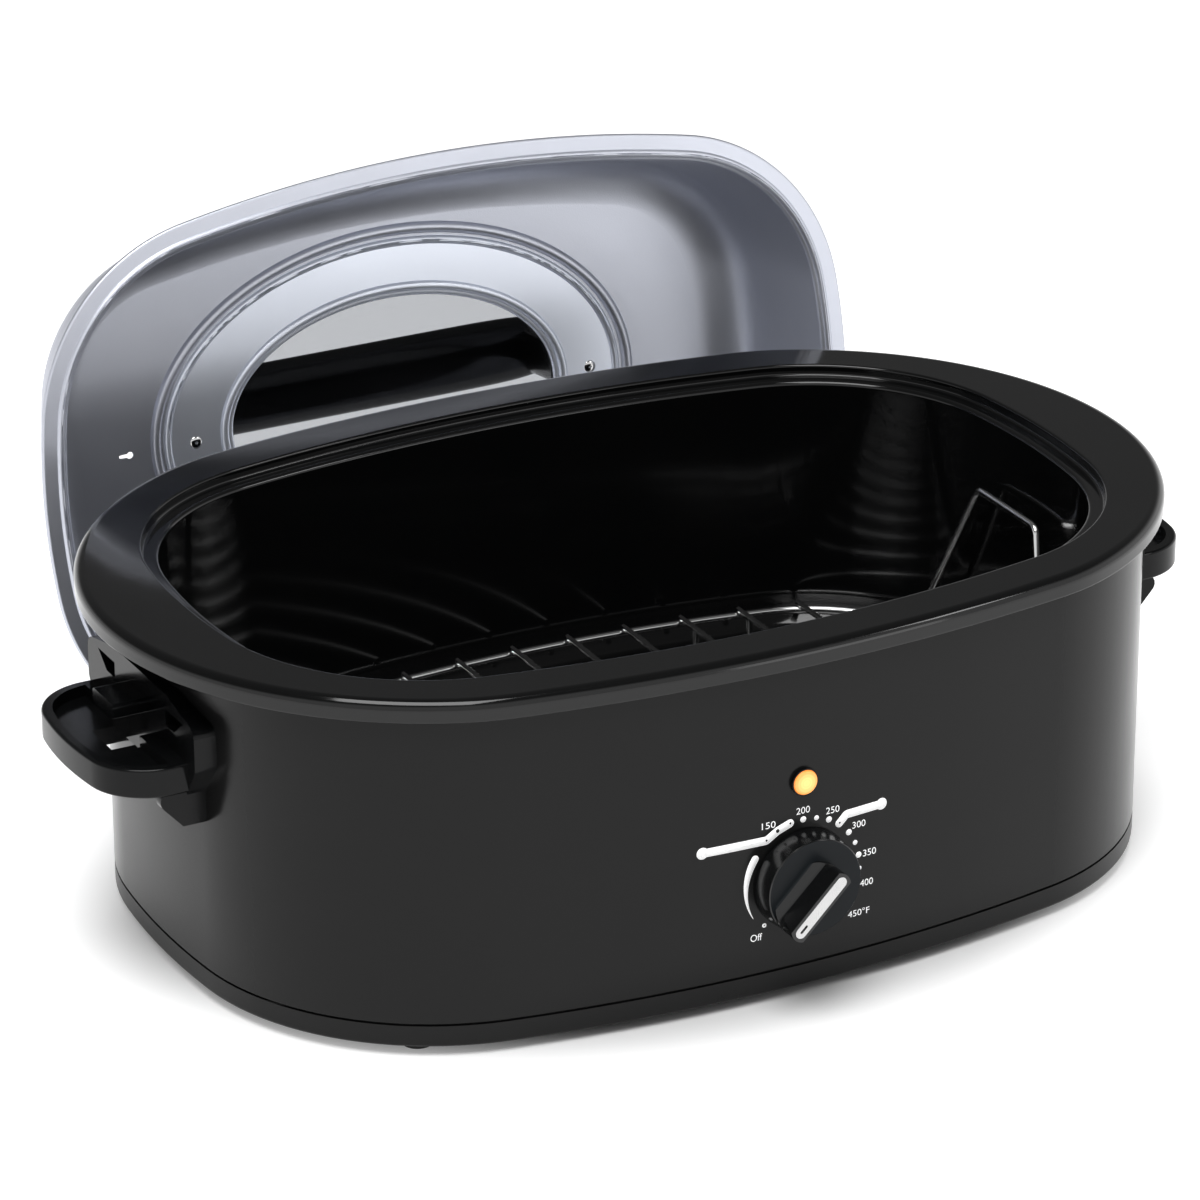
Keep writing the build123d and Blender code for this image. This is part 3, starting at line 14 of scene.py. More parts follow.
import bmesh
import bpy
import numpy as np
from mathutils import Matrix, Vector


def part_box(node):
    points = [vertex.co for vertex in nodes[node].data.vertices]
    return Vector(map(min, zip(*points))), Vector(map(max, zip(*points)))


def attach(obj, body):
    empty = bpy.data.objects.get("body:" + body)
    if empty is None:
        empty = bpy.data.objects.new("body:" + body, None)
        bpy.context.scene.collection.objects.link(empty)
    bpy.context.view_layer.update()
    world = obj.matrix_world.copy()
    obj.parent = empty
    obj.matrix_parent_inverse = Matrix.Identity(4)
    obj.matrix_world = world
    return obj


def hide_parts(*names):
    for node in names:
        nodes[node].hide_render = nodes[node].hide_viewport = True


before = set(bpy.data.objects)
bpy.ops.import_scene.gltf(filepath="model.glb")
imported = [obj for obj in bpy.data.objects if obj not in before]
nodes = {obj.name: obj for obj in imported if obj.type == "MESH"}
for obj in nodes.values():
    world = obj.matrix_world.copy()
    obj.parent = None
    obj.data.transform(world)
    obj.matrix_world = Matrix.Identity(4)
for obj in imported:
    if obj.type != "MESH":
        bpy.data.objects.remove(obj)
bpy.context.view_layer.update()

# %% [markdown]
# ## The oval that everything follows
#
# A stamped roaster is not an ellipse. Its plan is drawn with compasses: a long arc on each
# side, a shorter one at each end, and a tighter one round each of the four corners, all
# tangent. Such an outline has a handy property: the outline a few millimetres further in or
# out is the same drawing with every radius changed by that distance. So each pressed piece
# can be made as one profile carried round one oval, and pieces that nest stay parallel.

# %% The oval as a function of one parameter
MM = 0.001
BODY = np.array([256, 177, 460, 780, 130]) * MM    # half length, half width, then the radii
RIM = np.array([280, 182, 175, 830, 120]) * MM     # of the ends, the sides and the corners
LID = np.array([234, 151, 370, 760, 106]) * MM


def corner_centre(oval):
    """Centre of the corner arc: inside both the end arc and the side arc by its own radius."""
    half_length, half_width, end, side, corner = oval
    end_centre = np.array([half_length - end, 0])
    side_centre = np.array([0, half_width - side])
    span = np.linalg.norm(side_centre - end_centre)
    along = ((end - corner) ** 2 - (side - corner) ** 2 + span**2) / (2 * span)
    across = math.sqrt((end - corner) ** 2 - along**2)
    axis = (side_centre - end_centre) / span
    return end_centre + axis * along + np.array([axis[1], -axis[0]]) * -across


def oval_points(oval, count=480):
    """Points round an oval and the outward direction at each.

    A point is the centre of its arc plus the arc's radius times (cos a, sin a), where a is the
    direction of the outward normal. The samples are spread evenly in the mean of distance
    travelled and angle turned, so that flat stretches and tight corners both stay smooth.
    """
    half_length, half_width, end, side, corner = oval
    centre = corner_centre(oval)
    end_stop = math.atan2(centre[1], centre[0] - (half_length - end))
    side_start = math.atan2(centre[1] - (half_width - side), centre[0])

    def at(angle):
        cosine, sine = np.cos(angle), np.sin(angle)
        folded = np.arctan2(np.abs(sine), np.abs(cosine))
        on_end, on_side = folded < end_stop, folded > side_start
        radius = np.where(on_end, end, np.where(on_side, side, corner))
        middle_x = np.where(on_end, half_length - end, np.where(on_side, 0, centre[0]))
        middle_y = np.where(on_end, 0, np.where(on_side, half_width - side, centre[1]))
        x = np.sign(cosine) * middle_x + radius * cosine
        y = np.sign(sine) * middle_y + radius * sine
        return np.stack([x, y], 1), np.stack([cosine, sine], 1)

    fine = np.linspace(0, 2 * np.pi, 8 * count + 1)
    steps = np.linalg.norm(np.diff(at(fine)[0], axis=0), axis=1)
    travelled = np.concatenate([[0], np.cumsum(steps)])
    even = travelled / travelled[-1] + fine / (2 * np.pi)
    return at(np.interp(np.linspace(0, 2, count, endpoint=False), even, fine))


def front_wall(x, oval=BODY):
    """How far the wall stands in front of the middle at x, on the long arc of the side."""
    return oval[1] - oval[3] + np.sqrt(oval[3] ** 2 - x**2)


print("the body's corner arcs are centred at", (corner_centre(BODY) / MM).round(1), "mm")

# %% [markdown]
# ## From grids of points to meshes
#
# Every new surface here is a grid: rows of points that follow each other, joined by four-sided
# faces. A grid that closes on itself both ways is a shell with an inside and an outside, like
# sheet metal. Sharp corners of a profile are replaced by small arcs, because a real pressed
# edge always catches a thin line of light.

# %% Profiles and grids
SUPPORT = 0.25 * MM         # a row this close to each arc keeps the flats beside it flat
TOUCHING = 0.001 * MM       # points closer than this are one point


def rounded_profile(corners, steps=6):
    """A line through corners (distance out, height, radius) with an arc at each corner.

    The arc touches both sides of its corner at radius times the tangent of half the turn.
    """
    places = np.array([corner[:2] for corner in corners], float)
    points = [places[:1]]
    for before, here, after, (_, _, radius) in zip(places, places[1:], places[2:], corners[1:]):
        to_before = (before - here) / np.linalg.norm(before - here)
        to_after = (after - here) / np.linalg.norm(after - here)
        half_angle = math.acos(np.clip(to_before @ to_after, -1, 1)) / 2
        if radius <= 0 or half_angle > 1.55:
            points.append(here[None])
            continue
        reach = radius / math.tan(half_angle)
        bisector = (to_before + to_after) / np.linalg.norm(to_before + to_after)
        centre = here + bisector * radius / math.sin(half_angle)
        start, finish = here + to_before * reach, here + to_after * reach
        sweep = np.linspace(0, 1, steps + 1)[:, None]
        turn = np.pi - 2 * half_angle
        from_start = np.sin((1 - sweep) * turn) * (start - centre)
        from_finish = np.sin(sweep * turn) * (finish - centre)
        arc = centre + (from_start + from_finish) / math.sin(turn)
        points += [start[None] + to_before * SUPPORT, arc, finish[None] + to_after * SUPPORT]
    points.append(places[-1:])
    return np.concatenate(points)


def placed(name, data):
    """A new object in the scene, at the origin, for a mesh, a lamp or a camera."""
    piece = bpy.data.objects.new(name, data)
    bpy.context.scene.collection.objects.link(piece)
    return piece


def grid_mesh(name, points, close_rows=False, close_columns=True):
    """A mesh from points[row, column], with a face between each four neighbours."""
    rows, columns = points.shape[:2]
    row = np.arange(rows if close_rows else rows - 1)[:, None]
    column = np.arange(columns if close_columns else columns - 1)[None, :]
    next_row, next_column = (row + 1) % rows, (column + 1) % columns
    corners = [row * columns + column, row * columns + next_column,
               next_row * columns + next_column, next_row * columns + column]
    faces = np.stack([corner.ravel() for corner in corners], 1)
    mesh = bpy.data.meshes.new(name)
    mesh.from_pydata(points.reshape(-1, 3), [], faces)
    mesh.shade_smooth()
    return placed(name, mesh)


def swept_round(oval, profile, count=480):
    """Points of a profile (distance out from the oval, height) carried round the oval.

    point[row, column] = oval point + outward direction * distance out, at the row's height.
    """
    outline, outward = oval_points(oval, count)
    flat = outline[None] + profile[:, None, :1] * outward[None]
    height = np.broadcast_to(profile[:, None, 1:], (len(profile), count, 1))
    return np.concatenate([flat, height], 2)


def close_and_orient(piece):
    """Merges coincident points, fills open ends and turns every face outwards."""
    edit = bmesh.new()
    edit.from_mesh(piece.data)
    bmesh.ops.remove_doubles(edit, verts=edit.verts, dist=TOUCHING)
    open_edges = [edge for edge in edit.edges if edge.is_boundary]
    if open_edges:
        bmesh.ops.holes_fill(edit, edges=open_edges, sides=0)
    bmesh.ops.recalc_face_normals(edit, faces=edit.faces)
    edit.to_mesh(piece.data)
    edit.free()
    return piece

# %% [markdown]
# ## Finishes
#
# No real surface is one flat colour. Paint has a faint orange peel, plastic a moulding bloom,
# and metal a grain, and all of them carry soft smudges that change how sharply they reflect.
# Those three effects are made once, as node groups, and each finish places them with its own
# scale and strength. They read Object coordinates, so they stay put when a piece moves. Node
# trees are wordy to write out, so small helpers add a node and join it up in one line.

# %% Short ways to write nodes
def wire(tree, node, inputs):
    """Sets each input of a node, or links it where the value is another node's socket."""
    for label, value in inputs.items():
        if isinstance(value, bpy.types.NodeSocket):
            tree.links.new(value, node.inputs[label])
        else:
            node.inputs[label].default_value = value
    return node


def put(tree, kind, inputs=None, **settings):
    """Adds a shader node, with its settings first and then its inputs."""
    node = tree.nodes.new(f"ShaderNode{kind}")
    for setting, value in settings.items():
        setattr(node, setting, value)
    return wire(tree, node, inputs or {})


def noise(tree, vector, scale, detail=3.0, roughness=0.5):
    """The value of a noise texture at a vector."""
    return put(tree, "TexNoise", {"Vector": vector, "Scale": scale, "Detail": detail,
                                  "Roughness": roughness}).outputs["Fac"]


# %% Node groups that more than one finish uses
def new_group(name, inputs, output, kind):
    """An empty shader node group with these inputs and one output.

    Each input is (name, socket type, default). Gives back the group, the sockets that its
    inputs arrive on, and the node that takes its output.
    """
    group = bpy.data.node_groups.new(name, "ShaderNodeTree")
    for label, socket_kind, default in inputs:
        socket = group.interface.new_socket(label, in_out="INPUT", socket_type=socket_kind)
        if default is not None:
            socket.default_value = default
    group.interface.new_socket(output, in_out="OUTPUT", socket_type=kind)
    taken = group.nodes.new("NodeGroupInput").outputs
    return group, taken, group.nodes.new("NodeGroupOutput")


def build_mottle():
    """Two close shades of one colour, mixed by a slow noise."""
    group, taken, given = new_group(
        "mottle",
        [("Vector", "NodeSocketVector", None), ("Shade A", "NodeSocketColor", None),
         ("Shade B", "NodeSocketColor", None), ("Scale", "NodeSocketFloat", 20.0)],
        "Color", "NodeSocketColor")
    slow = noise(group, taken["Vector"], taken["Scale"])
    mix = put(group, "Mix", {"Factor": slow, "A": taken["Shade A"], "B": taken["Shade B"]},
              data_type="RGBA")
    wire(group, given, {"Color": mix.outputs["Result"]})
    return group


def build_smudge():
    """A roughness that wanders between two values, as a wiped surface's does."""
    group, taken, given = new_group(
        "smudge",
        [("Vector", "NodeSocketVector", None), ("Scale", "NodeSocketFloat", 9.0),
         ("Clean", "NodeSocketFloat", 0.1), ("Smudged", "NodeSocketFloat", 0.2)],
        "Roughness", "NodeSocketFloat")
    wiped = noise(group, taken["Vector"], taken["Scale"], detail=5.0, roughness=0.6)
    spread = put(group, "MapRange", {"Value": wiped, "From Min": 0.3, "From Max": 0.7,
                                     "To Min": taken["Clean"], "To Max": taken["Smudged"]})
    wire(group, given, {"Roughness": spread.outputs["Result"]})
    return group


def build_skin():
    """The height of a fine surface texture: a coarse swell plus a tight grain."""
    group, taken, given = new_group(
        "skin",
        [("Vector", "NodeSocketVector", None), ("Swell Scale", "NodeSocketFloat", 200.0),
         ("Grain Scale", "NodeSocketFloat", 2000.0), ("Grain Share", "NodeSocketFloat", 0.3)],
        "Height", "NodeSocketFloat")
    swell = noise(group, taken["Vector"], taken["Swell Scale"], detail=1.0)
    grain = noise(group, taken["Vector"], taken["Grain Scale"], detail=2.0, roughness=0.7)
    mix = put(group, "Mix", {"Factor": taken["Grain Share"], "A": swell, "B": grain})
    wire(group, given, {"Height": mix.outputs["Result"]})
    return group


MOTTLE, SMUDGE, SKIN = build_mottle(), build_smudge(), build_skin()
print("node groups:", MOTTLE.name, SMUDGE.name, SKIN.name)


# %% A finish from those groups
COAT_ROUGHNESS = 0.08


def new_material(name):
    """A material with nodes, its node tree and its Principled shader."""
    material = bpy.data.materials.new(name)
    material.use_nodes = True
    tree = material.node_tree
    return material, tree, tree.nodes["Principled BSDF"]


def mottled(tree, vector, shade_a, shade_b, scale):
    """The colour of the mottle group at a vector."""
    return put(tree, "Group", {"Vector": vector, "Shade A": (*shade_a, 1),
                               "Shade B": (*shade_b, 1), "Scale": scale},
               node_tree=MOTTLE).outputs["Color"]


def smudged(tree, vector, rough, scale):
    """The roughness of the smudge group at a vector, from (clean, smudged)."""
    return put(tree, "Group", {"Vector": vector, "Clean": rough[0], "Smudged": rough[1],
                               "Scale": scale}, node_tree=SMUDGE).outputs["Roughness"]


def finish(name, shade_a, shade_b, rough, bump, metallic=0.0, coat=0.0, swell=200.0,
           grain=2000.0, grain_share=0.3, mottle=18.0, smudge=9.0, stretch=(1, 1, 1),
           turn=(0, 0, 0), specular=0.5, glow=0.0):
    """A painted, moulded or metal surface: mottled colour, smudged gloss and a fine skin.

    rough is (clean, smudged) roughness and bump the height of the skin in metres. stretch
    scales the coordinates, so a large number along an axis draws the grain out across it.
    """
    material, tree, shader = new_material(name)
    place = put(tree, "Mapping", {"Vector": put(tree, "TexCoord").outputs["Object"],
                                  "Rotation": turn, "Scale": stretch}).outputs["Vector"]
    colour = mottled(tree, place, shade_a, shade_b, mottle)
    skin = put(tree, "Group", {"Vector": place, "Swell Scale": swell, "Grain Scale": grain,
                               "Grain Share": grain_share}, node_tree=SKIN)
    relief = put(tree, "Bump", {"Strength": 1.0, "Distance": bump,
                                "Height": skin.outputs["Height"]})
    wire(tree, shader, {
        "Base Color": colour, "Roughness": smudged(tree, place, rough, smudge),
        "Normal": relief.outputs["Normal"], "Metallic": metallic, "Coat Weight": coat,
        "Coat Roughness": COAT_ROUGHNESS, "Specular IOR Level": specular,
    })
    # glow adds emission in the surface's own colour: painted light, for surfaces that are no
    # lamp.
    if glow:
        wire(tree, shader, {"Emission Color": colour, "Emission Strength": glow})
    return material


def grey(level, warmth=0.0):
    """A nearly neutral colour; positive warmth leans to red, negative to blue."""
    return (level * (1 + warmth), level, level * (1 - warmth))


charcoal_paint = finish("charcoal_paint", grey(0.008), grey(0.010), (0.14, 0.22), 0.00002,
                        swell=320.0, grain_share=0.15, specular=0.18)
black_enamel = finish("black_enamel", grey(0.002, -0.1), grey(0.003), (0.07, 0.13), 0.00001,
                      coat=0.2, swell=160.0, grain_share=0.1, specular=0.3)
satin_black = finish("satin_black", grey(0.005), grey(0.007), (0.26, 0.36), 0.00003,
                     swell=600.0, specular=0.2)
gloss_plastic = finish("gloss_plastic", grey(0.003), grey(0.005, -0.1), (0.12, 0.2), 0.00001,
                       swell=260.0, specular=0.18)
polished_plastic = finish("polished_plastic", grey(0.003), grey(0.005, -0.1), (0.16, 0.24),
                          0.00001, swell=260.0)
knob_slate = finish("knob_slate", grey(0.007, -0.25), grey(0.01, -0.25), (0.25, 0.35), 0.00002,
                    specular=0.15)
sandblasted_steel = finish("sandblasted_steel", (0.57, 0.59, 0.66), (0.63, 0.65, 0.72),
                           (0.36, 0.44), 0.00006, metallic=0.85, swell=900.0, grain=1500.0,
                           grain_share=0.75)
# A lighter, bluer, slightly smoother copy of the sandblasted steel for the band round the
# window: a painted highlight that stands in for a lamp's reflection there.
ring_highlight_steel = finish("ring_highlight_steel", (0.79, 0.83, 0.92), (0.85, 0.89, 0.98), (0.34, 0.40),
                      0.00002, metallic=0.75, swell=700.0, grain=1500.0, grain_share=0.6)
zinc_plate = finish("zinc_plate", grey(0.55), grey(0.63, 0.02), (0.28, 0.42), 0.00002,
                    metallic=1.0)
bright_chrome = finish("bright_chrome", grey(0.6), grey(0.66), (0.06, 0.12), 0.000005,
                       metallic=1.0)
brushed_silver = finish("brushed_silver", grey(0.54), grey(0.6), (0.22, 0.34), 0.00002,
                        metallic=0.9, stretch=(12, 1, 1), turn=(0, math.radians(45), 0))
rubber_black = finish("rubber_black", grey(0.012), grey(0.018), (0.6, 0.75), 0.00006,
                      swell=700.0)
mica_band = finish("mica_band", (0.35, 0.25, 0.14), (0.5, 0.38, 0.22), (0.45, 0.7), 0.0001)
glass_wool = finish("glass_wool", (0.7, 0.66, 0.5), (0.85, 0.82, 0.68), (0.85, 0.95), 0.0008,
                    swell=300.0, grain=900.0, mottle=60.0)
steatite = finish("steatite", (0.72, 0.69, 0.6), (0.82, 0.8, 0.72), (0.5, 0.65), 0.00005)
phenolic = finish("phenolic", (0.03, 0.018, 0.014), (0.045, 0.03, 0.024), (0.3, 0.5), 0.00004)
mill_aluminium = finish("mill_aluminium", grey(0.62), grey(0.7), (0.25, 0.4), 0.00003,
                        metallic=1.0, stretch=(1, 9, 1))
print(len(bpy.data.materials), "finishes so far")

# %% [markdown]
# ## The painted shell
#
# The shell is one band of sheet steel bent round the oval and welded shut. It could be the CAD
# solid with a bevel, but its large glossy sides show every facet, so the wall is swept again
# from the exact oval, with a thin turned edge at the foot where light catches.

# %% Sweep the shell
shell_low, shell_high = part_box("outer_shell")
SHELL_WALL = 1.0 * MM

shell_profile = rounded_profile([
    (-SHELL_WALL, shell_high.z - 4 * MM, 0),
    (-SHELL_WALL, shell_low.z, 0.4 * MM),
    (0, shell_low.z, 0.7 * MM),
    (0, shell_high.z, 0.2 * MM),
    (-SHELL_WALL, shell_high.z, 0.2 * MM),
    (-SHELL_WALL, shell_high.z - 4 * MM, 0),
])[:-1]
body_shell = grid_mesh("body_shell", swept_round(BODY, shell_profile), close_rows=True)
close_and_orient(body_shell)
body_shell.data.materials.append(charcoal_paint)
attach(body_shell, "housing")
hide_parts("outer_shell")
print("shell:", len(shell_profile), "rows round the oval")

# %% [markdown]
# ## The enamelled pan
#
# The pan is drawn from one sheet: a rolled lip, a broad flat rim, a shallow step where the lid
# sits, a ledge, and then a deep bowl whose walls lean in a little so that it leaves the press.
# The lip follows one oval and the step and bowl follow another, so the profile is written in
# two halves, and the flat rim is simply the face between them. Outside and inside are one
# closed skin, 1.5 mm apart.

# %% Sweep the pan
pan_low, pan_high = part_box("roasting_pan")
PAN_WALL = 1.5 * MM
LIP_DEPTH = 10.7 * MM
LIP_ROLL = 5.0 * MM
LID_MARGIN = 4.0 * MM           # from the lid's flange to the step of the rim
STEP_DEPTH = 6.0 * MM
LEDGE_WIDTH = 8.5 * MM
DRAFT = math.tan(math.radians(3.0))
CORNER = 20.0 * MM
FLOOR_RING = 60.0 * MM          # the floor is one flat face inside this ring

rim_top, floor_out = pan_high.z, pan_low.z
floor_in = floor_out + PAN_WALL
under = rim_top - PAN_WALL
ledge = rim_top - STEP_DEPTH
mouth = LID_MARGIN - LEDGE_WIDTH


def leaned(level, wall=0.0):
    """Distance out from the lid's oval of the bowl's wall at a level below the ledge."""
    return mouth + wall - (ledge - level) * DRAFT


bowl_outside = rounded_profile([
    (-FLOOR_RING, floor_out, 0),
    (leaned(floor_out, PAN_WALL), floor_out, CORNER),
    (leaned(ledge - PAN_WALL, PAN_WALL), ledge - PAN_WALL, 1.0 * MM),
    (LID_MARGIN + PAN_WALL, ledge - PAN_WALL, 1.0 * MM),
    (LID_MARGIN + PAN_WALL, under, 1.0 * MM),
    (LID_MARGIN + 2.5 * PAN_WALL, under, 0),
])
lip = rounded_profile([
    (-12 * MM, under, 0),
    (-PAN_WALL, under, 3.5 * MM),
    (-PAN_WALL, rim_top - LIP_DEPTH, 0.6 * MM),
    (0, rim_top - LIP_DEPTH, 0.7 * MM),
    (0, rim_top, LIP_ROLL),
    (-12 * MM, rim_top, 0),
])
bowl_inside = rounded_profile([
    (LID_MARGIN + 2.5 * PAN_WALL, rim_top, 0),
    (LID_MARGIN, rim_top, 1.4 * MM),
    (LID_MARGIN, ledge, 1.6 * MM),
    (mouth, ledge, 2.5 * MM),
    (leaned(floor_in), floor_in, CORNER - PAN_WALL),
    (-FLOOR_RING, floor_in, 0),
])
pan_points = np.concatenate([
    swept_round(LID, bowl_outside), swept_round(RIM, lip), swept_round(LID, bowl_inside),
])
enamel_pan = close_and_orient(grid_mesh("enamel_pan", pan_points))
enamel_pan.data.materials.append(black_enamel)
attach(enamel_pan, "pan")
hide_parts("roasting_pan")
print("pan depth below the ledge:", round((ledge - floor_in) / MM), "mm")

# %% [markdown]
# ## The lid
#
# The lid is a domed pressing that stands on its edge, leaning back. In its own plane it has a
# flange with a double bead, a deep side wall, a wide shoulder, and a flat top with two oval
# beads: one round the plateau and one round the window. The outer half of the profile follows
# the lid's oval. The inner half follows ellipses, because the window is one. The flat between
# them takes up the difference.
#
# The sheet is made once as a single skin. A Solidify modifier then gives it the gauge of the
# metal, on the outside of the dome, where it doesn't change what the profile says.

# %% Where the lid stands
LID_TILT = math.radians(7.7)
LID_WALL = 1.2 * MM             # the solid's wall; the flange's back edge stands on the counter
LID_RIGHT, LID_BEHIND = 11 * MM, 190 * MM       # the flange's foot, from the oven's middle
LID_CENTRE = np.array([
    LID_RIGHT,
    LID_BEHIND + LID[1] * math.sin(LID_TILT),
    LID[1] * math.cos(LID_TILT) + LID_WALL * math.sin(LID_TILT),
])


def on_lid(points):
    """Turns (across, up, depth behind the flange) into the row frame, by the lid's lean."""
    across, up, depth = points[..., 0], points[..., 1], points[..., 2]
    return LID_CENTRE + np.stack([
        across,
        up * math.sin(LID_TILT) + depth * math.cos(LID_TILT),
        up * math.cos(LID_TILT) - depth * math.sin(LID_TILT),
    ], -1)


print("lid stands from z =", round((LID_CENTRE[2] - LID[1] * math.cos(LID_TILT)) / MM, 2), "mm")

# %% Sweep the lid's sheet
LID_DEPTH = 77.0 * MM
SHEET_GAUGE = 1.0 * MM
LID_DRAFT = math.tan(math.radians(9.0))
LID_SHOULDER = 29.0 * MM
SHOULDER_END = 51.8 * MM        # where the flat top begins, inwards from the flange's edge
LID_COLUMNS = 296

flange_to_shoulder = rounded_profile([
    (-1.2 * MM, 0.9 * MM, 0),
    (-0.7 * MM, 0, 0.4 * MM),
    (-8.6 * MM, 0, 0.8 * MM),
    (-9.6 * MM, -1.3 * MM, 0.8 * MM),
    (-10.9 * MM, -1.3 * MM, 0.8 * MM),
    (-11.6 * MM, 0.2 * MM, 0.6 * MM),
    (-12.9 * MM, 0.4 * MM, 1.6 * MM),
    (-13.8 * MM - LID_DEPTH * LID_DRAFT, LID_DEPTH, LID_SHOULDER),
    (-SHOULDER_END, LID_DEPTH, 0),
], steps=7)
plateau = rounded_profile([
    (98.4 * MM, LID_DEPTH, 0),
    (97.5 * MM, LID_DEPTH, 1.0 * MM),
    (96.2 * MM, LID_DEPTH - 2.2 * MM, 1.6 * MM),
    (93.8 * MM, LID_DEPTH - 2.2 * MM, 1.6 * MM),
    (92.4 * MM, LID_DEPTH + 0.3 * MM, 1.2 * MM),
    (89.8 * MM, LID_DEPTH + 0.3 * MM, 1.0 * MM),
    (88.8 * MM, LID_DEPTH - 1.2 * MM, 1.1 * MM),
    (87.2 * MM, LID_DEPTH - 1.2 * MM, 1.1 * MM),
    (86.2 * MM, LID_DEPTH + 0.5 * MM, 1.0 * MM),
    (65.6 * MM, LID_DEPTH - 0.6 * MM, 1.0 * MM),
    (64.6 * MM, LID_DEPTH - 2.3 * MM, 1.1 * MM),
    (62.6 * MM, LID_DEPTH - 2.3 * MM, 1.1 * MM),
    (61.6 * MM, LID_DEPTH - 0.2 * MM, 1.0 * MM),
    (59.6 * MM, LID_DEPTH - 0.1 * MM, 0.5 * MM),
    (59.0 * MM, LID_DEPTH + 0.9 * MM, 0),
], steps=4)


def ellipse_length(half_height):
    """Half length of the ellipse with this half height: the ring is longer than the window."""
    blend = np.clip((half_height / MM - 67) / 18, 0, 1)
    return half_height + (37.0 + 8.0 * blend) * MM


def swept_ellipses(profile, guide):
    """Rings of ellipses (half height, depth), each point in step with the guide outline."""
    half_height = profile[:, :1]
    across = ellipse_length(half_height) * np.cos(guide)[None]
    up = half_height * np.sin(guide)[None]
    depth = np.broadcast_to(profile[:, 1:], across.shape)
    return np.stack([across, up, depth], 2)


top_oval = LID - SHOULDER_END
outline = oval_points(top_oval, LID_COLUMNS)[0]
guide = np.arctan2(outline[:, 1] / top_oval[1], outline[:, 0] / top_oval[0])
lid_points = np.concatenate([
    swept_round(LID, flange_to_shoulder, LID_COLUMNS), swept_ellipses(plateau, guide),
])
lid_sheet = grid_mesh("lid_sheet", on_lid(lid_points))
thicken = lid_sheet.modifiers.new("gauge", "SOLIDIFY")
thicken.thickness = SHEET_GAUGE
thicken.offset = 1
lid_sheet.data.materials.append(sandblasted_steel)
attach(lid_sheet, "lid")
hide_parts("lid_dome")
print("lid sheet:", len(lid_points), "rows of", LID_COLUMNS)


# %% [markdown]
# ## Cutting the lid's steam vent
#
# A small hole through a pressed sheet is punched after it is drawn. Here the sheet gets its
# thickness, and then a Boolean takes the keyhole vent out of it. The result is stored as a
# plain mesh, so that nothing is left to work out when the piece is exported.

# %% Punch the keyhole vent
VENT_X, VENT_LENGTH, VENT_RADIUS = -159 * MM, 8 * MM, 1.9 * MM
PUNCH_REACH = 12 * MM           # to each side of the flat top


def keyhole_outline(count=48):
    """A round hole with a slot running out of it: the farther of a circle and a narrower bar.

    In polar form about the hole, the outline is the circle's radius, or the bar's reach where
    that lies outside, which is half the bar's width over the sine of the angle.
    """
    angle = np.linspace(0, 2 * np.pi, count, endpoint=False)
    bar = 0.55 * VENT_RADIUS / np.maximum(np.abs(np.sin(angle)), 1e-3)
    reach = np.where(np.cos(angle) < 0, np.minimum(bar, VENT_LENGTH - VENT_RADIUS), 0)
    radius = np.maximum(VENT_RADIUS, reach)
    return np.stack([radius * np.cos(angle), radius * np.sin(angle)], 1)


def combine(piece, tool, operation):
    """Cuts a closed mesh from a piece, or joins it on, and stores the result as plain mesh."""
    step = piece.modifiers.new(operation.lower(), "BOOLEAN")
    step.operation, step.solver, step.object = operation, "EXACT", tool
    settled = piece.evaluated_get(bpy.context.evaluated_depsgraph_get())
    finished = bpy.data.meshes.new_from_object(settled)
    piece.modifiers.clear()
    piece.data = finished
    bpy.data.objects.remove(tool)


def punch(piece, outline, across, near, far, taper=1.0):
    """Cuts an outline at a place across the lid, between two depths, narrowing by the taper."""
    points = np.zeros((2, len(outline), 3))
    points[..., :2] = outline * np.array([1, taper])[:, None, None] + np.array([across, 0])
    points[..., 2] = np.array([near, far])[:, None]
    combine(piece, close_and_orient(grid_mesh("punch", on_lid(points))), "DIFFERENCE")


punch(lid_sheet, keyhole_outline(), VENT_X + VENT_LENGTH / 2,
      LID_DEPTH - PUNCH_REACH, LID_DEPTH + PUNCH_REACH)
lid_sheet.data.shade_smooth()
lid_sheet.data.set_sharp_from_angle(angle=math.radians(50))
print("lid sheet after punching:", len(lid_sheet.data.polygons), "faces")

# %% [markdown]
# ## The bright ring round the window
#
# The band between the two beads is given a lighter, bluer and slightly smoother copy of the
# lid's
# steel: a painted highlight, standing in for the reflection of a lamp in that part of the
# sheet.
# It stays one sheet with the lid, and only the faces inside the ring bead take the second
# material. They are found in the lid's own plane, where the band's outer edge is an ellipse.


# %% A painted highlight on the faces inside the ring bead
def faces_of(mesh):
    """Centres and normals of a mesh's faces, as arrays."""
    centres = np.empty(3 * len(mesh.polygons))
    normals = np.empty(3 * len(mesh.polygons))
    mesh.polygons.foreach_get("center", centres)
    mesh.polygons.foreach_get("normal", normals)
    return centres.reshape(-1, 3), normals.reshape(-1, 3)


# The front faces inside this ellipse take the lighter steel: a painted highlight.
HIGHLIGHT_RING_EDGE = 90.5 * MM         # half height of the ellipse that bounds the bright band
lid_up = np.array([0, math.sin(LID_TILT), math.cos(LID_TILT)])
lid_back = np.array([0, math.cos(LID_TILT), -math.sin(LID_TILT)])
centres, normals = faces_of(lid_sheet.data)
across = (centres[:, 0] - LID_CENTRE[0]) / ellipse_length(HIGHLIGHT_RING_EDGE)
up = (centres - LID_CENTRE) @ lid_up / HIGHLIGHT_RING_EDGE
inside = (across**2 + up**2 < 1) & (normals @ lid_back < 0)
lid_sheet.data.materials.append(ring_highlight_steel)
lid_sheet.data.polygons.foreach_set("material_index", inside.astype(np.int32))
print("faces in the bright ring:", int(inside.sum()))
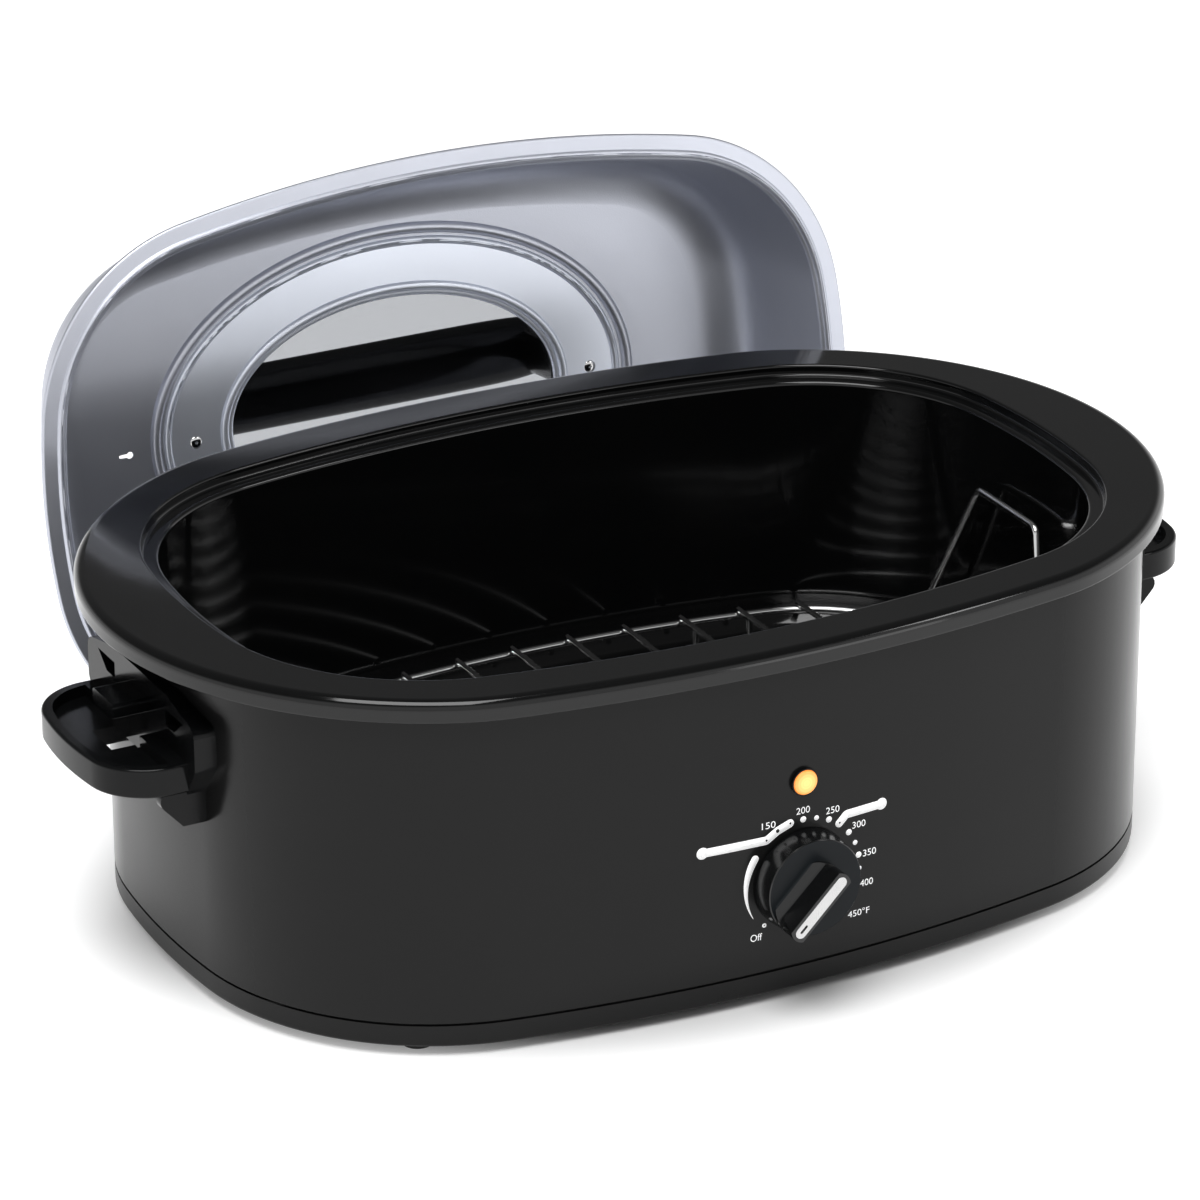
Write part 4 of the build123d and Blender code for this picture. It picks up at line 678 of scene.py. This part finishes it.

# %% [markdown]
# ## Moulded and turned pieces
#
# The side handles, base, feet, cord gland, lamp ring and wires already have their true shape
# in the CAD model. What they lack is softness: a moulded edge has a radius of about half a
# millimetre, and its highlight is what tells the eye that it is plastic. Each of them is
# copied, its loose triangles are merged and the flat areas are joined into single faces. Where
# an edge width is given, a Bevel modifier rounds the edges that are left; the base and the
# wires only get sharp edges by angle. Smooth shading would then bend the light over the flats,
# so
# Weighted Normal lets the largest face at each corner decide.

# %% A softened copy of a CAD piece
FLAT_ENOUGH = math.radians(0.4)     # triangles that turn less than this are joined


def softened(node, body, material, edge=0.0, smooth_angle=32):
    """A copy of a CAD piece with merged faces, smooth curves, and bevelled edges when edge is
    given.
    """
    mesh = nodes[node].data.copy()
    edit = bmesh.new()
    edit.from_mesh(mesh)
    bmesh.ops.remove_doubles(edit, verts=edit.verts, dist=2 * TOUCHING)
    bmesh.ops.dissolve_limit(edit, angle_limit=FLAT_ENOUGH, verts=edit.verts, edges=edit.edges)
    edit.to_mesh(mesh)
    edit.free()
    mesh.shade_smooth()
    mesh.materials.clear()
    mesh.materials.append(material)
    piece = placed(f"soft_{node}", mesh)
    if edge:
        bevel = piece.modifiers.new("moulded edge", "BEVEL")
        bevel.width = edge
        bevel.segments = 3
        bevel.limit_method = "ANGLE"
        bevel.angle_limit = math.radians(smooth_angle)
    else:
        mesh.set_sharp_from_angle(angle=math.radians(smooth_angle))
    level = piece.modifiers.new("flat faces stay flat", "WEIGHTED_NORMAL")
    level.keep_sharp = True
    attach(piece, body)
    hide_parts(node)
    return piece


def round_outline(radius, count=32):
    """Points round a circle."""
    angle = np.linspace(0, 2 * np.pi, count, endpoint=False)
    return radius * np.stack([np.cos(angle), np.sin(angle)], 1)


for node, slot, material, edge in (
        ("left_handle", "handle_black", gloss_plastic, 0.7 * MM),
        ("right_handle", "handle_black", gloss_plastic, 0.7 * MM),
        ("base_tray", "base_paint", satin_black, 0.0),
        ("feet", "foot_rubber", rubber_black, 0.5 * MM),
        ("cord_gland", "gland_black", gloss_plastic, 0.4 * MM),
        ("lamp_bezel", "lamp_black", gloss_plastic, 0.2 * MM)):
    softened(node, "housing", material, edge)
for node in ("rack_frame", "rack_cross_wires", "rack_lift_loops", "rack_feet"):
    softened(node, "rack", bright_chrome, smooth_angle=50)

# %% [markdown]
# ## The lid's handle and its two screws
#
# The handle is a bar on two posts, and it shows through the window as a long soft highlight.
# A box with rounded edges has a flat face, which would mirror one even patch of the room. The
# real bar swells a little, so each section here is a superellipse: the curve between an
# ellipse and a rectangle, whose sides are nearly flat but never quite.
#
# The screws are the only plated metal on the lid. Each is a profile turned about its axis: a
# quarter of an ellipse for the pan head, then the shank. A tapered cross is cut into the head.

# %% Superellipses along a line
def superellipse(angle, half_width, half_height, power):
    """Points at (cos a, sin a), each raised to 2 / power with its sign kept, and scaled."""
    cosine, sine = np.cos(angle), np.sin(angle)
    across = np.sign(cosine) * np.abs(cosine) ** (2 / power) * half_width
    up = np.sign(sine) * np.abs(sine) ** (2 / power) * half_height
    return across, up


HANDLE_SCREW_X = 117.0 * MM
BAR_HALF = np.array([134.0, 18.3, 9.5]) * MM        # half length, half height, half thickness
BAR_DEPTH = LID_DEPTH + 64.7 * MM                   # the middle of the bar
POST_HALF = np.array([12.0, 14.0]) * MM
POST_FOOT = LID_DEPTH + 1.3 * MM
SCREW_HOLE, HOLE_DEPTH = 2.3 * MM, 22 * MM

# The bar's section is the same all along, and closes in with a power of the shrink at its ends.
around = np.linspace(0, 2 * np.pi, 64, endpoint=False)
along = np.linspace(-np.pi / 2, np.pi / 2, 97)
shrink, reach = superellipse(along, 1.0, BAR_HALF[0], 9.0)
back, up = superellipse(around, BAR_HALF[2], BAR_HALF[1], 2.1)
closing = shrink[:, None] ** 4
bar = np.stack([
    np.broadcast_to(reach[:, None], (len(along), len(around))),
    closing * up[None],
    BAR_DEPTH + closing * back[None],
], 2)
lid_grip = close_and_orient(grid_mesh("lid_grip", on_lid(bar)))
for side in (-1, 1):
    across, up = superellipse(around, *POST_HALF, 4.0)
    post = np.stack([
        np.stack([side * HANDLE_SCREW_X + across, up, np.full(len(around), depth)], 1)
        for depth in (POST_FOOT, BAR_DEPTH)])
    combine(lid_grip, close_and_orient(grid_mesh("post", on_lid(post))), "UNION")
    punch(lid_grip, round_outline(SCREW_HOLE), side * HANDLE_SCREW_X,
          POST_FOOT - 1 * MM, POST_FOOT + HOLE_DEPTH)
lid_grip.data.materials.append(polished_plastic)
lid_grip.data.shade_smooth()
lid_grip.data.set_sharp_from_angle(angle=math.radians(35))
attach(lid_grip, "lid")
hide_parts("lid_handle")
print("lid handle:", len(lid_grip.data.polygons), "faces")

# %% Two screws with crossed recesses
HEAD_RADIUS, HEAD_HEIGHT = 4.0 * MM, 2.0 * MM
SHANK_RADIUS, SHANK_LENGTH = 2.2 * MM, 20.0 * MM
CROSS_HALF_WIDTH, CROSS_REACH = 0.35 * MM, 1.4 * MM


def cross_outline(half_width, reach, count=96):
    """Two crossed bars in polar form: at each angle, the farther of the two bars' edges."""
    angle = np.linspace(0, 2 * np.pi, count, endpoint=False)
    sine, cosine = np.maximum(np.abs([np.sin(angle), np.cos(angle)]), 1e-3)
    level = np.minimum(half_width / sine, reach / cosine)
    upright = np.minimum(half_width / cosine, reach / sine)
    radius = np.maximum(level, upright)
    return radius[:, None] * np.stack([np.cos(angle), np.sin(angle)], 1)


quarter = np.linspace(0.02, np.pi / 2, 12)
turned = np.concatenate([
    np.stack([HEAD_RADIUS * np.sin(quarter), -HEAD_HEIGHT * np.cos(quarter)], 1),
    np.array([[HEAD_RADIUS, 0.1 * MM], [SHANK_RADIUS, 0.1 * MM], [SHANK_RADIUS, SHANK_LENGTH]]),
])
ring = round_outline(1.0, 48)
screws = []
for side in (-1, 1):
    points = np.zeros((len(turned), len(ring), 3))
    points[..., :2] = turned[:, None, :1] * ring[None] + np.array([side * HANDLE_SCREW_X, 0])
    points[..., 2] = LID_DEPTH + turned[:, 1:]
    screw = close_and_orient(grid_mesh("lid_screws", on_lid(points)))
    punch(screw, cross_outline(CROSS_HALF_WIDTH, CROSS_REACH), side * HANDLE_SCREW_X,
          LID_DEPTH - 3 * MM, LID_DEPTH - 0.5 * MM, taper=0.4)
    screws.append(screw)
combine(screws[0], screws[1], "UNION")
lid_screws = screws[0]
lid_screws.data.materials.append(bright_chrome)
lid_screws.data.shade_smooth()
lid_screws.data.set_sharp_from_angle(angle=math.radians(40))
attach(lid_screws, "lid")
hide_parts("lid_handle_screws")
print("screw faces:", len(lid_screws.data.polygons))

# %% [markdown]
# ## The knob
#
# The knob is one moulding in two finishes: the skirt and the grip bar come out of a polished
# part of the mould, and the round face behind the bar has a fine matt slate finish. Both are
# on one mesh. The faces that look forwards at the level of that face take the slate finish.

# %% The knob in two finishes
knob_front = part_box("knob")[0].y
GRIP_STAND = 12.5 * MM          # the grip bar stands this far in front of the face
FACE_BAND = 0.3 * MM            # how far from the face's level a slate part of it may be

turning_knob = softened("knob", "knob", polished_plastic, 0.7 * MM)
turning_knob.data.materials.append(knob_slate)

centres, normals = faces_of(turning_knob.data)
forward = normals[:, 1] < -0.9
face_level = knob_front + GRIP_STAND
on_face = np.abs(centres[:, 1] - face_level) < FACE_BAND
slate_faces = forward & on_face
turning_knob.data.polygons.foreach_set("material_index", slate_faces.astype(np.int32))
softened("knob_pointer", "knob", brushed_silver, 0.15 * MM)
print("knob faces in slate:", int(slate_faces.sum()), "of", len(slate_faces))

# %% [markdown]
# ## The pilot lamp and the window
#
# The lamp's lens is amber plastic with a neon glow tube behind it. Its middle is pale and its
# rim deep orange, because the light from the tube crosses more plastic there, and the moulding
# has fine rings to spread the light. All of it depends on one thing, the distance from the
# middle of the lens, so the length of a centred coordinate drives the colour of the glow.
#
# The window is one pane of tempered glass. It keeps its plain solid: real glass needs an
# entry and an exit face, and the pane has both.

# %% Amber lens and glass pane
LENS_POWER = 2.2            # how late the rim's colour comes in
LENS_RINGS = 26.0           # radians of ripple from the middle to the rim
RING_DEPTH = 0.07


def lit_lens(name, middle, rim, centre, radius, strength):
    """Translucent plastic that glows, paler in the middle, with fine concentric rings.

    The share of the rim's colour is the distance from the centre over the radius, raised to a
    power, plus a small ripple of the same distance.
    """
    material, tree, shader = new_material(name)
    place = put(tree, "TexCoord").outputs["Object"]
    centred = put(tree, "Mapping", {
        "Vector": place, "Location": [-value / radius for value in centre],
        "Scale": [1 / radius] * 3})
    distance = put(tree, "VectorMath", {0: centred.outputs["Vector"]},
                   operation="LENGTH").outputs["Value"]
    falloff = put(tree, "Math", {0: distance, 1: LENS_POWER}, operation="POWER")
    turns = put(tree, "Math", {0: distance, 1: LENS_RINGS}, operation="MULTIPLY")
    rings = put(tree, "Math", {0: turns.outputs["Value"]}, operation="SINE")
    share = put(tree, "Math", {0: rings.outputs["Value"], 1: RING_DEPTH,
                               2: falloff.outputs["Value"]},
                operation="MULTIPLY_ADD", use_clamp=True)
    mix = put(tree, "Mix", {"Factor": share.outputs["Value"], "A": (*middle, 1),
                            "B": (*rim, 1)}, data_type="RGBA")
    wire(tree, shader, {
        "Base Color": (*rim, 1), "Roughness": smudged(tree, place, (0.15, 0.3), 60.0),
        "Emission Color": mix.outputs["Result"], "Emission Strength": strength,
    })
    return material


def clear_glass(name, tint, rough):
    """Tempered glass: clear, faintly tinted, with a trace of wiping on its gloss."""
    material, tree, shader = new_material(name)
    place = put(tree, "TexCoord").outputs["Object"]
    wire(tree, shader, {
        "Base Color": mottled(tree, place, tint, [0.97 * part for part in tint], 14.0),
        "Roughness": smudged(tree, place, rough, 12.0),
        "Transmission Weight": 1.0, "IOR": 1.5,
    })
    return material


lens_low, lens_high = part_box("lamp_lens")
lens_centre = (lens_low + lens_high) / 2
amber_lens = lit_lens("amber_lens", (1.0, 0.78, 0.28), (0.82, 0.24, 0.04),
                      (lens_centre.x, lens_low.y, lens_centre.z),
                      (lens_high.x - lens_low.x) / 2, 1.0)
pane_glass = clear_glass("pane_glass", (0.42, 0.43, 0.45), (0.0, 0.02))
softened("lamp_lens", "housing", amber_lens, smooth_angle=50)

# %% [markdown]
# ## The dial's print
#
# The scale round the knob is screen printed straight onto the paint: a dot for each setting,
# numbers beside the dots, a tapering band that warns that the oven is heating up, and two
# plain bars that mark the low and the thawing ranges. Ink is a film, so each mark is a flat
# shape laid on the wall and given a few hundredths of a millimetre.
#
# Every mark that is not a letter is a stroke: a line of points with a width at each of them. A
# round end needs no extra shape. Near the end the half width is the height of a circle there.

# %% Strokes of ink
DIAL_Z = 62.0 * MM
DIAL_RADIUS = 31.6 * MM
INK = 0.04 * MM
INK_GAP = 0.03 * MM


def dial_place(degrees, radius=DIAL_RADIUS):
    """A place on the dial, from the angle counted anticlockwise from the right."""
    angle = np.radians(degrees)
    return np.stack([radius * np.cos(angle), DIAL_Z + radius * np.sin(angle)], -1)


def stroke(path, half_width, start_round=0.0, end_round=0.0):
    """Left and right edges of a band along a path, with circles at its ends.

    The half width is the band's, or the circle's where that is wider: at a distance s from the
    end of the path, a circle of radius r has the half height sqrt(r^2 - (r - s)^2).
    """
    steps = np.linalg.norm(np.diff(path, axis=0), axis=1)
    travelled = np.concatenate([[0], np.cumsum(steps)])
    total = travelled[-1]
    width = np.broadcast_to(half_width, travelled.shape).astype(float).copy()
    for distance, radius in ((travelled, start_round), (total - travelled, end_round)):
        if radius > 0:
            circle = np.sqrt(np.clip(radius**2 - (radius - distance) ** 2, 0, None))
            limit = np.minimum(width, circle)
            width = np.where(distance < radius, np.where(radius > width, circle, limit),
                             np.where(distance < 2 * radius, np.maximum(width, circle), width))
    along = np.gradient(path, axis=0)
    along /= np.linalg.norm(along, axis=1)[:, None]
    sideways = np.stack([-along[:, 1], along[:, 0]], 1)
    return np.stack([path + sideways * width[:, None], path - sideways * width[:, None]], 1)


def polyline(corners, spacing=0.12 * MM, bend=2.0 * MM):
    """Evenly spaced points along straight lines through corners, each corner a small arc."""
    path = rounded_profile([(x, z, bend) for x, z in corners], steps=12)
    steps = np.linalg.norm(np.diff(path, axis=0), axis=1)
    travelled = np.concatenate([[0], np.cumsum(steps)])
    even = np.linspace(0, travelled[-1], int(travelled[-1] / spacing) + 1)
    return np.stack([np.interp(even, travelled, path[:, axis]) for axis in (0, 1)], 1)


def on_wall(points, lift=INK_GAP):
    """(x, z) places laid on the curved front wall."""
    x, z = points[..., 0], points[..., 1]
    return np.stack([x, -(front_wall(x) + lift), z], -1)


def dot(centre, radius, samples=25):
    """A disc as a stroke along its own diameter, sampled closer together at the ends."""
    reach = -np.cos(np.linspace(0, np.pi, samples)) * radius
    path = np.asarray(centre)[None] + np.stack([reach, np.zeros(samples)], 1)
    width = np.sqrt(np.clip(radius**2 - reach**2, 0, None))
    return stroke(path, width)


def printed(name, shapes, ink, lift=INK_GAP):
    """One piece of print from several strokes, with the thickness of a film of ink."""
    piece = None
    for shape in shapes:
        part = grid_mesh(name, on_wall(shape, lift), close_columns=False)
        part.data.materials.append(ink)
        if piece is None:
            piece = part
            continue
        joined = bmesh.new()
        joined.from_mesh(piece.data)
        joined.from_mesh(part.data)
        joined.to_mesh(piece.data)
        joined.free()
        bpy.data.objects.remove(part)
    return ink_film(piece)


def ink_film(piece):
    """Turns the flat print to face out of the wall and thickens it outwards."""
    edit = bmesh.new()
    edit.from_mesh(piece.data)
    bmesh.ops.remove_doubles(edit, verts=edit.verts, dist=TOUCHING)
    backwards = [face for face in edit.faces if face.normal.y > 0]
    bmesh.ops.reverse_faces(edit, faces=backwards)
    edit.to_mesh(piece.data)
    edit.free()
    film = piece.modifiers.new("film of ink", "SOLIDIFY")
    film.thickness = INK
    film.offset = 1
    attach(piece, "housing")
    return piece


# The ink is white print, and it also gives off a little light in its own colour: a painted glow
# that lifts the print to full white.
white_ink_painted_glow = finish("white_ink_painted_glow", grey(0.9), grey(0.86), (0.35, 0.5), 0.00001, mottle=120.0,
                   glow=0.45)

SETTINGS = {"150": 116.7, "200": 90.0, "250": 63.4, "300": 36.6, "350": 10.0, "400": -16.7,
            "450": -43.4}
HALFWAY = (76.7, 23.3, -3.4)
OFF_PLACE = np.array([-20.4, 42.0]) * MM
dots = [dot(dial_place(angle), 1.6 * MM) for angle in SETTINGS.values()]
dots += [dot(dial_place(angle), 1.3 * MM) for angle in HALFWAY]
dots.append(dot(OFF_PLACE, 1.15 * MM))
printed("dial_dots", dots, white_ink_painted_glow)
print("dial dots:", len(dots))

# %% The bars and the tapering band
BAR_HALF_WIDTH = 2.2 * MM
BAR_SWELL = 3.05 * MM           # radius of the round end that each bar has
low_bar = polyline(np.array([(-56.4, 87.0), (-19.7, 86.8), (-13.8, 90.6), (-5.2, 93.8)]) * MM)
thaw_bar = polyline(np.array([(18.4, 85.4), (23.8, 90.7), (46.6, 91.5)]) * MM)
TAPER_RADIUS = 30.4 * MM
taper_turn = np.linspace(144, 210, 90)
taper_width = np.interp(taper_turn, [144, 156, 210], [2.0 * MM, 1.9 * MM, 0.12 * MM])
heat_band = stroke(dial_place(taper_turn, TAPER_RADIUS), taper_width, start_round=1.9 * MM)
bars = [
    stroke(low_bar, BAR_HALF_WIDTH, start_round=BAR_SWELL, end_round=BAR_HALF_WIDTH),
    stroke(thaw_bar, BAR_HALF_WIDTH, start_round=BAR_HALF_WIDTH, end_round=BAR_SWELL),
    heat_band,
]
printed("dial_bars", bars, white_ink_painted_glow)
bar_marks = [dot(np.array(place) * MM, radius * MM) for *place, radius in (
    (-19.7, 86.8, 0.55), (-13.8, 90.6, 1.0), (-7.0, 93.1, 0.55), (20.2, 87.1, 0.55))]
bar_marks.append(dot(OFF_PLACE, 0.4 * MM))
printed("bar_dots", bar_marks, black_enamel, lift=INK_GAP + 2 * INK)
print("bars and band:", len(bars))

# %% The numbers
DIGIT_HEIGHT = 3.5 * MM
DIGIT_WIDTH = 2.45 * MM


def letters(text, name, centre, height, width):
    """Flat letters, measured and then stretched to a height and a width on the wall."""
    curve = bpy.data.curves.new(text, "FONT")
    curve.body = text
    sketch = placed(text, curve)
    bpy.context.view_layer.update()
    mesh = bpy.data.meshes.new_from_object(sketch)
    bpy.data.objects.remove(sketch)
    points = np.empty(3 * len(mesh.vertices))
    mesh.vertices.foreach_get("co", points)
    flat = points.reshape(-1, 3)[:, :2]
    low, high = flat.min(axis=0), flat.max(axis=0)
    flat = (flat - (low + high) / 2) / (high - low) * np.array([width, height])
    flat += np.array(centre)
    mesh.vertices.foreach_set("co", on_wall(flat).ravel())
    mesh.materials.clear()
    mesh.materials.append(white_ink_painted_glow)
    return ink_film(placed(name, mesh))


number_places = {"150": (-18.6, 94.5), "200": (-0.1, 98.4), "250": (16.2, 94.9),
                 "300": (31.0, 83.8), "350": (37.3, 67.5), "400": (35.9, 51.7)}
for text, (x, z) in number_places.items():
    letters(text, f"number_{text}", (x * MM, z * MM), DIGIT_HEIGHT, 3 * DIGIT_WIDTH)
letters("450°F", "number_450", (31.8 * MM, 36.6 * MM), DIGIT_HEIGHT, 5 * DIGIT_WIDTH)
letters("Off", "word_off", (-24.6 * MM, 36.4 * MM), 3.7 * MM, 6.2 * MM)
print("words on the dial:", len(number_places) + 2)

# %% [markdown]
# ## The pieces inside
#
# Nothing here shows in the closed oven, but the pan lifts out, and the model is looked at from
# below as well. Each inner piece keeps its CAD solid and gets the finish of its own stuff:
# zinc-plated steel, bare aluminium, ceramic, mica tape on the element, and glass wool.

# %% Finishes for the pieces that keep their CAD solids
galvanised = finish("galvanised", grey(0.42, -0.02), grey(0.55, -0.02), (0.32, 0.48), 0.00003,
                    metallic=1.0, mottle=45.0)
lead_sleeve = finish("lead_sleeve", (0.62, 0.6, 0.55), (0.7, 0.68, 0.62), (0.55, 0.7), 0.00004)
kept_solids = {
    "foot_screws": zinc_plate, "corner_brackets": zinc_plate, "heating_well": galvanised,
    "heating_element": mica_band, "insulation_blanket": glass_wool,
    "heat_shield": mill_aluminium, "shield_spacers": steatite, "thermostat": phenolic,
    "thermostat_plate": zinc_plate, "thermostat_sensor": mill_aluminium,
    "thermostat_screws": zinc_plate, "knob_shaft": zinc_plate, "lamp_clip": zinc_plate,
    "terminal_block": steatite, "internal_leads": lead_sleeve, "handle_washers": zinc_plate,
    "handle_screws": zinc_plate,
    "window_seal": rubber_black, "lid_window": pane_glass,
}
for node, material in kept_solids.items():
    nodes[node].data.materials.clear()
    nodes[node].data.materials.append(material)
bare = [name for name, node in nodes.items()
        if not node.hide_render and name not in kept_solids]
print("kept solids:", len(kept_solids), "without a finish:", bare)

# %% [markdown]
# ## Counter, light and camera
#
# The oven stands on a white sweep. The floor keeps the soft shadow, and for the camera it adds
# just enough of its own white that the open part reads as paper, but only away from the oven:
# inside an ellipse round it the floor stays darker, a painted shade that keeps the shadow
# tight.
# The glossy sides look down at the floor, while the flat rim of the pan looks up, so a dark
# ceiling keeps the rim black and the white floor gives the sides their charcoal sheen. One
# large soft lamp stands high on the left, a weak one fills from the right, and a small low one
# in front shines into the lid and lays a streak along its handle.

# %% Floor and world
FLOOR_HALF = 6.0
# Inside this ellipse the floor gets less extra white, and none near the oven: a painted shade
# round the oven.
SHADE_HALF = (0.3, 0.24)        # half axes of the ellipse that keeps its shadow
SHADE_FADE = (0.74, 1.02)       # shares of the ellipse where the extra white starts and is full
EXTRA_WHITE = 0.68


def white_floor():
    """White board, with extra white for rays that see it directly, off metal or through glass.

    The extra white grows with the elliptical distance from the oven, so the real contact shadow
    stays, and the floor inside the ellipse is left darker: a painted shade that keeps the
    shadow tight round the oven. Seen from below the board is clear, so that the base can be
    looked at.
    """
    material, tree, shader = new_material("white_board")
    path = put(tree, "LightPath").outputs
    mirrored = put(tree, "Math", {0: path["Is Camera Ray"], 1: path["Is Glossy Ray"]},
                   operation="MAXIMUM")
    seen = put(tree, "Math", {0: mirrored.outputs["Value"], 1: path["Is Transmission Ray"]},
               operation="MAXIMUM")
    squeeze = put(tree, "Mapping", {"Vector": put(tree, "TexCoord").outputs["Object"],
                                    "Scale": (1 / SHADE_HALF[0], 1 / SHADE_HALF[1], 1)})
    distance = put(tree, "VectorMath", {0: squeeze.outputs["Vector"]}, operation="LENGTH")
    spread = put(tree, "MapRange", {
        "Value": distance.outputs["Value"], "From Min": SHADE_FADE[0],
        "From Max": SHADE_FADE[1], "To Min": 0.0, "To Max": EXTRA_WHITE,
    }, interpolation_type="SMOOTHSTEP")
    lift = put(tree, "Math", {0: seen.outputs["Value"], 1: spread.outputs["Result"]},
               operation="MULTIPLY")
    wire(tree, shader, {
        "Base Color": (0.8, 0.8, 0.8, 1), "Roughness": 0.9, "Specular IOR Level": 0.0,
        "Emission Color": (1, 1, 1, 1), "Emission Strength": lift.outputs["Value"],
    })
    from_below = put(tree, "Math", {0: put(tree, "NewGeometry").outputs["Backfacing"],
                                    1: path["Is Camera Ray"]}, operation="MULTIPLY")
    choice = put(tree, "MixShader", {0: from_below.outputs["Value"], 1: shader.outputs["BSDF"],
                                     2: put(tree, "BsdfTransparent").outputs["BSDF"]})
    wire(tree, tree.nodes["Material Output"], {"Surface": choice.outputs["Shader"]})
    return material


board = np.array([[[-1, -1, 0], [1, -1, 0]], [[-1, 1, 0], [1, 1, 0]]], float) * FLOOR_HALF
floor = grid_mesh("white_floor", board, close_columns=False)
floor.data.materials.append(white_floor())

ROOM_LEVEL = 0.33               # what lights matt surfaces
CEILING_LEVEL = 0.15            # what glossy ones see overhead
CEILING_WAY = (0, 0.3, 1)       # up, and a little towards the back
CEILING_FADE = (0.25, 0.6)      # from where the room is white to where the ceiling is full
world = bpy.data.worlds.new("studio")
bpy.context.scene.world = world
world.use_nodes = True
sky = world.node_tree
path = put(sky, "LightPath").outputs
height = put(sky, "VectorMath", {0: put(sky, "TexCoord").outputs["Generated"],
                                 1: CEILING_WAY}, operation="DOT_PRODUCT")
ceiling = put(sky, "MapRange", {
    "Value": height.outputs["Value"], "From Min": CEILING_FADE[0],
    "From Max": CEILING_FADE[1], "To Min": 1.0, "To Max": CEILING_LEVEL,
}, interpolation_type="SMOOTHSTEP")
mirrored = put(sky, "Mix", {"Factor": path["Is Glossy Ray"], "A": ROOM_LEVEL,
                            "B": ceiling.outputs["Result"]})
seen = put(sky, "Math", {0: path["Is Camera Ray"], 1: path["Is Transmission Ray"]},
           operation="MAXIMUM")
level = put(sky, "Mix", {"Factor": seen.outputs["Value"], "A": mirrored.outputs["Result"],
                         "B": 1.0})
wire(sky, sky.nodes["Background"], {"Color": (1, 1, 1, 1), "Strength": level.outputs["Result"]})
print("floor and world ready")

# %% Lamps
def soft_lamp(name, place, aim, size, power):
    """A square area lamp at a place, pointing at another."""
    light = bpy.data.lights.new(name, "AREA")
    light.shape = "SQUARE"
    light.size = size
    light.energy = power
    lamp = placed(name, light)
    lamp.location = place
    lamp.rotation_euler = (Vector(aim) - Vector(place)).to_track_quat("-Z", "Y").to_euler()
    return lamp


key = soft_lamp("key", (-0.6, -0.7, 2.6), (0, 0, 0.1), 1.6, 55)
fill = soft_lamp("fill", (1.6, -1.4, 1.8), (0, 0, 0.1), 0.4, 4)
front = soft_lamp("front", (1.0, -1.9, 0.3), (0, 0.2, 0.2), 0.7, 3.0)
print("lamps:", key.name, fill.name, front.name)

# %% Camera
view = bpy.data.cameras.new("front_left")
view.sensor_width = 36
view.lens = 171.67
view.shift_x = -0.02325
view.shift_y = 0.0585
camera = placed("front_left", view)
camera.location = (-1.2157, -2.2903, 1.2798)
aim = Vector((0, 0, 0.1)) - camera.location
camera.rotation_euler = aim.to_track_quat("-Z", "Y").to_euler()
bpy.context.scene.camera = camera
bpy.context.scene.view_settings.view_transform = "Standard"
print("camera is", round(aim.length, 3), "m from its aim")
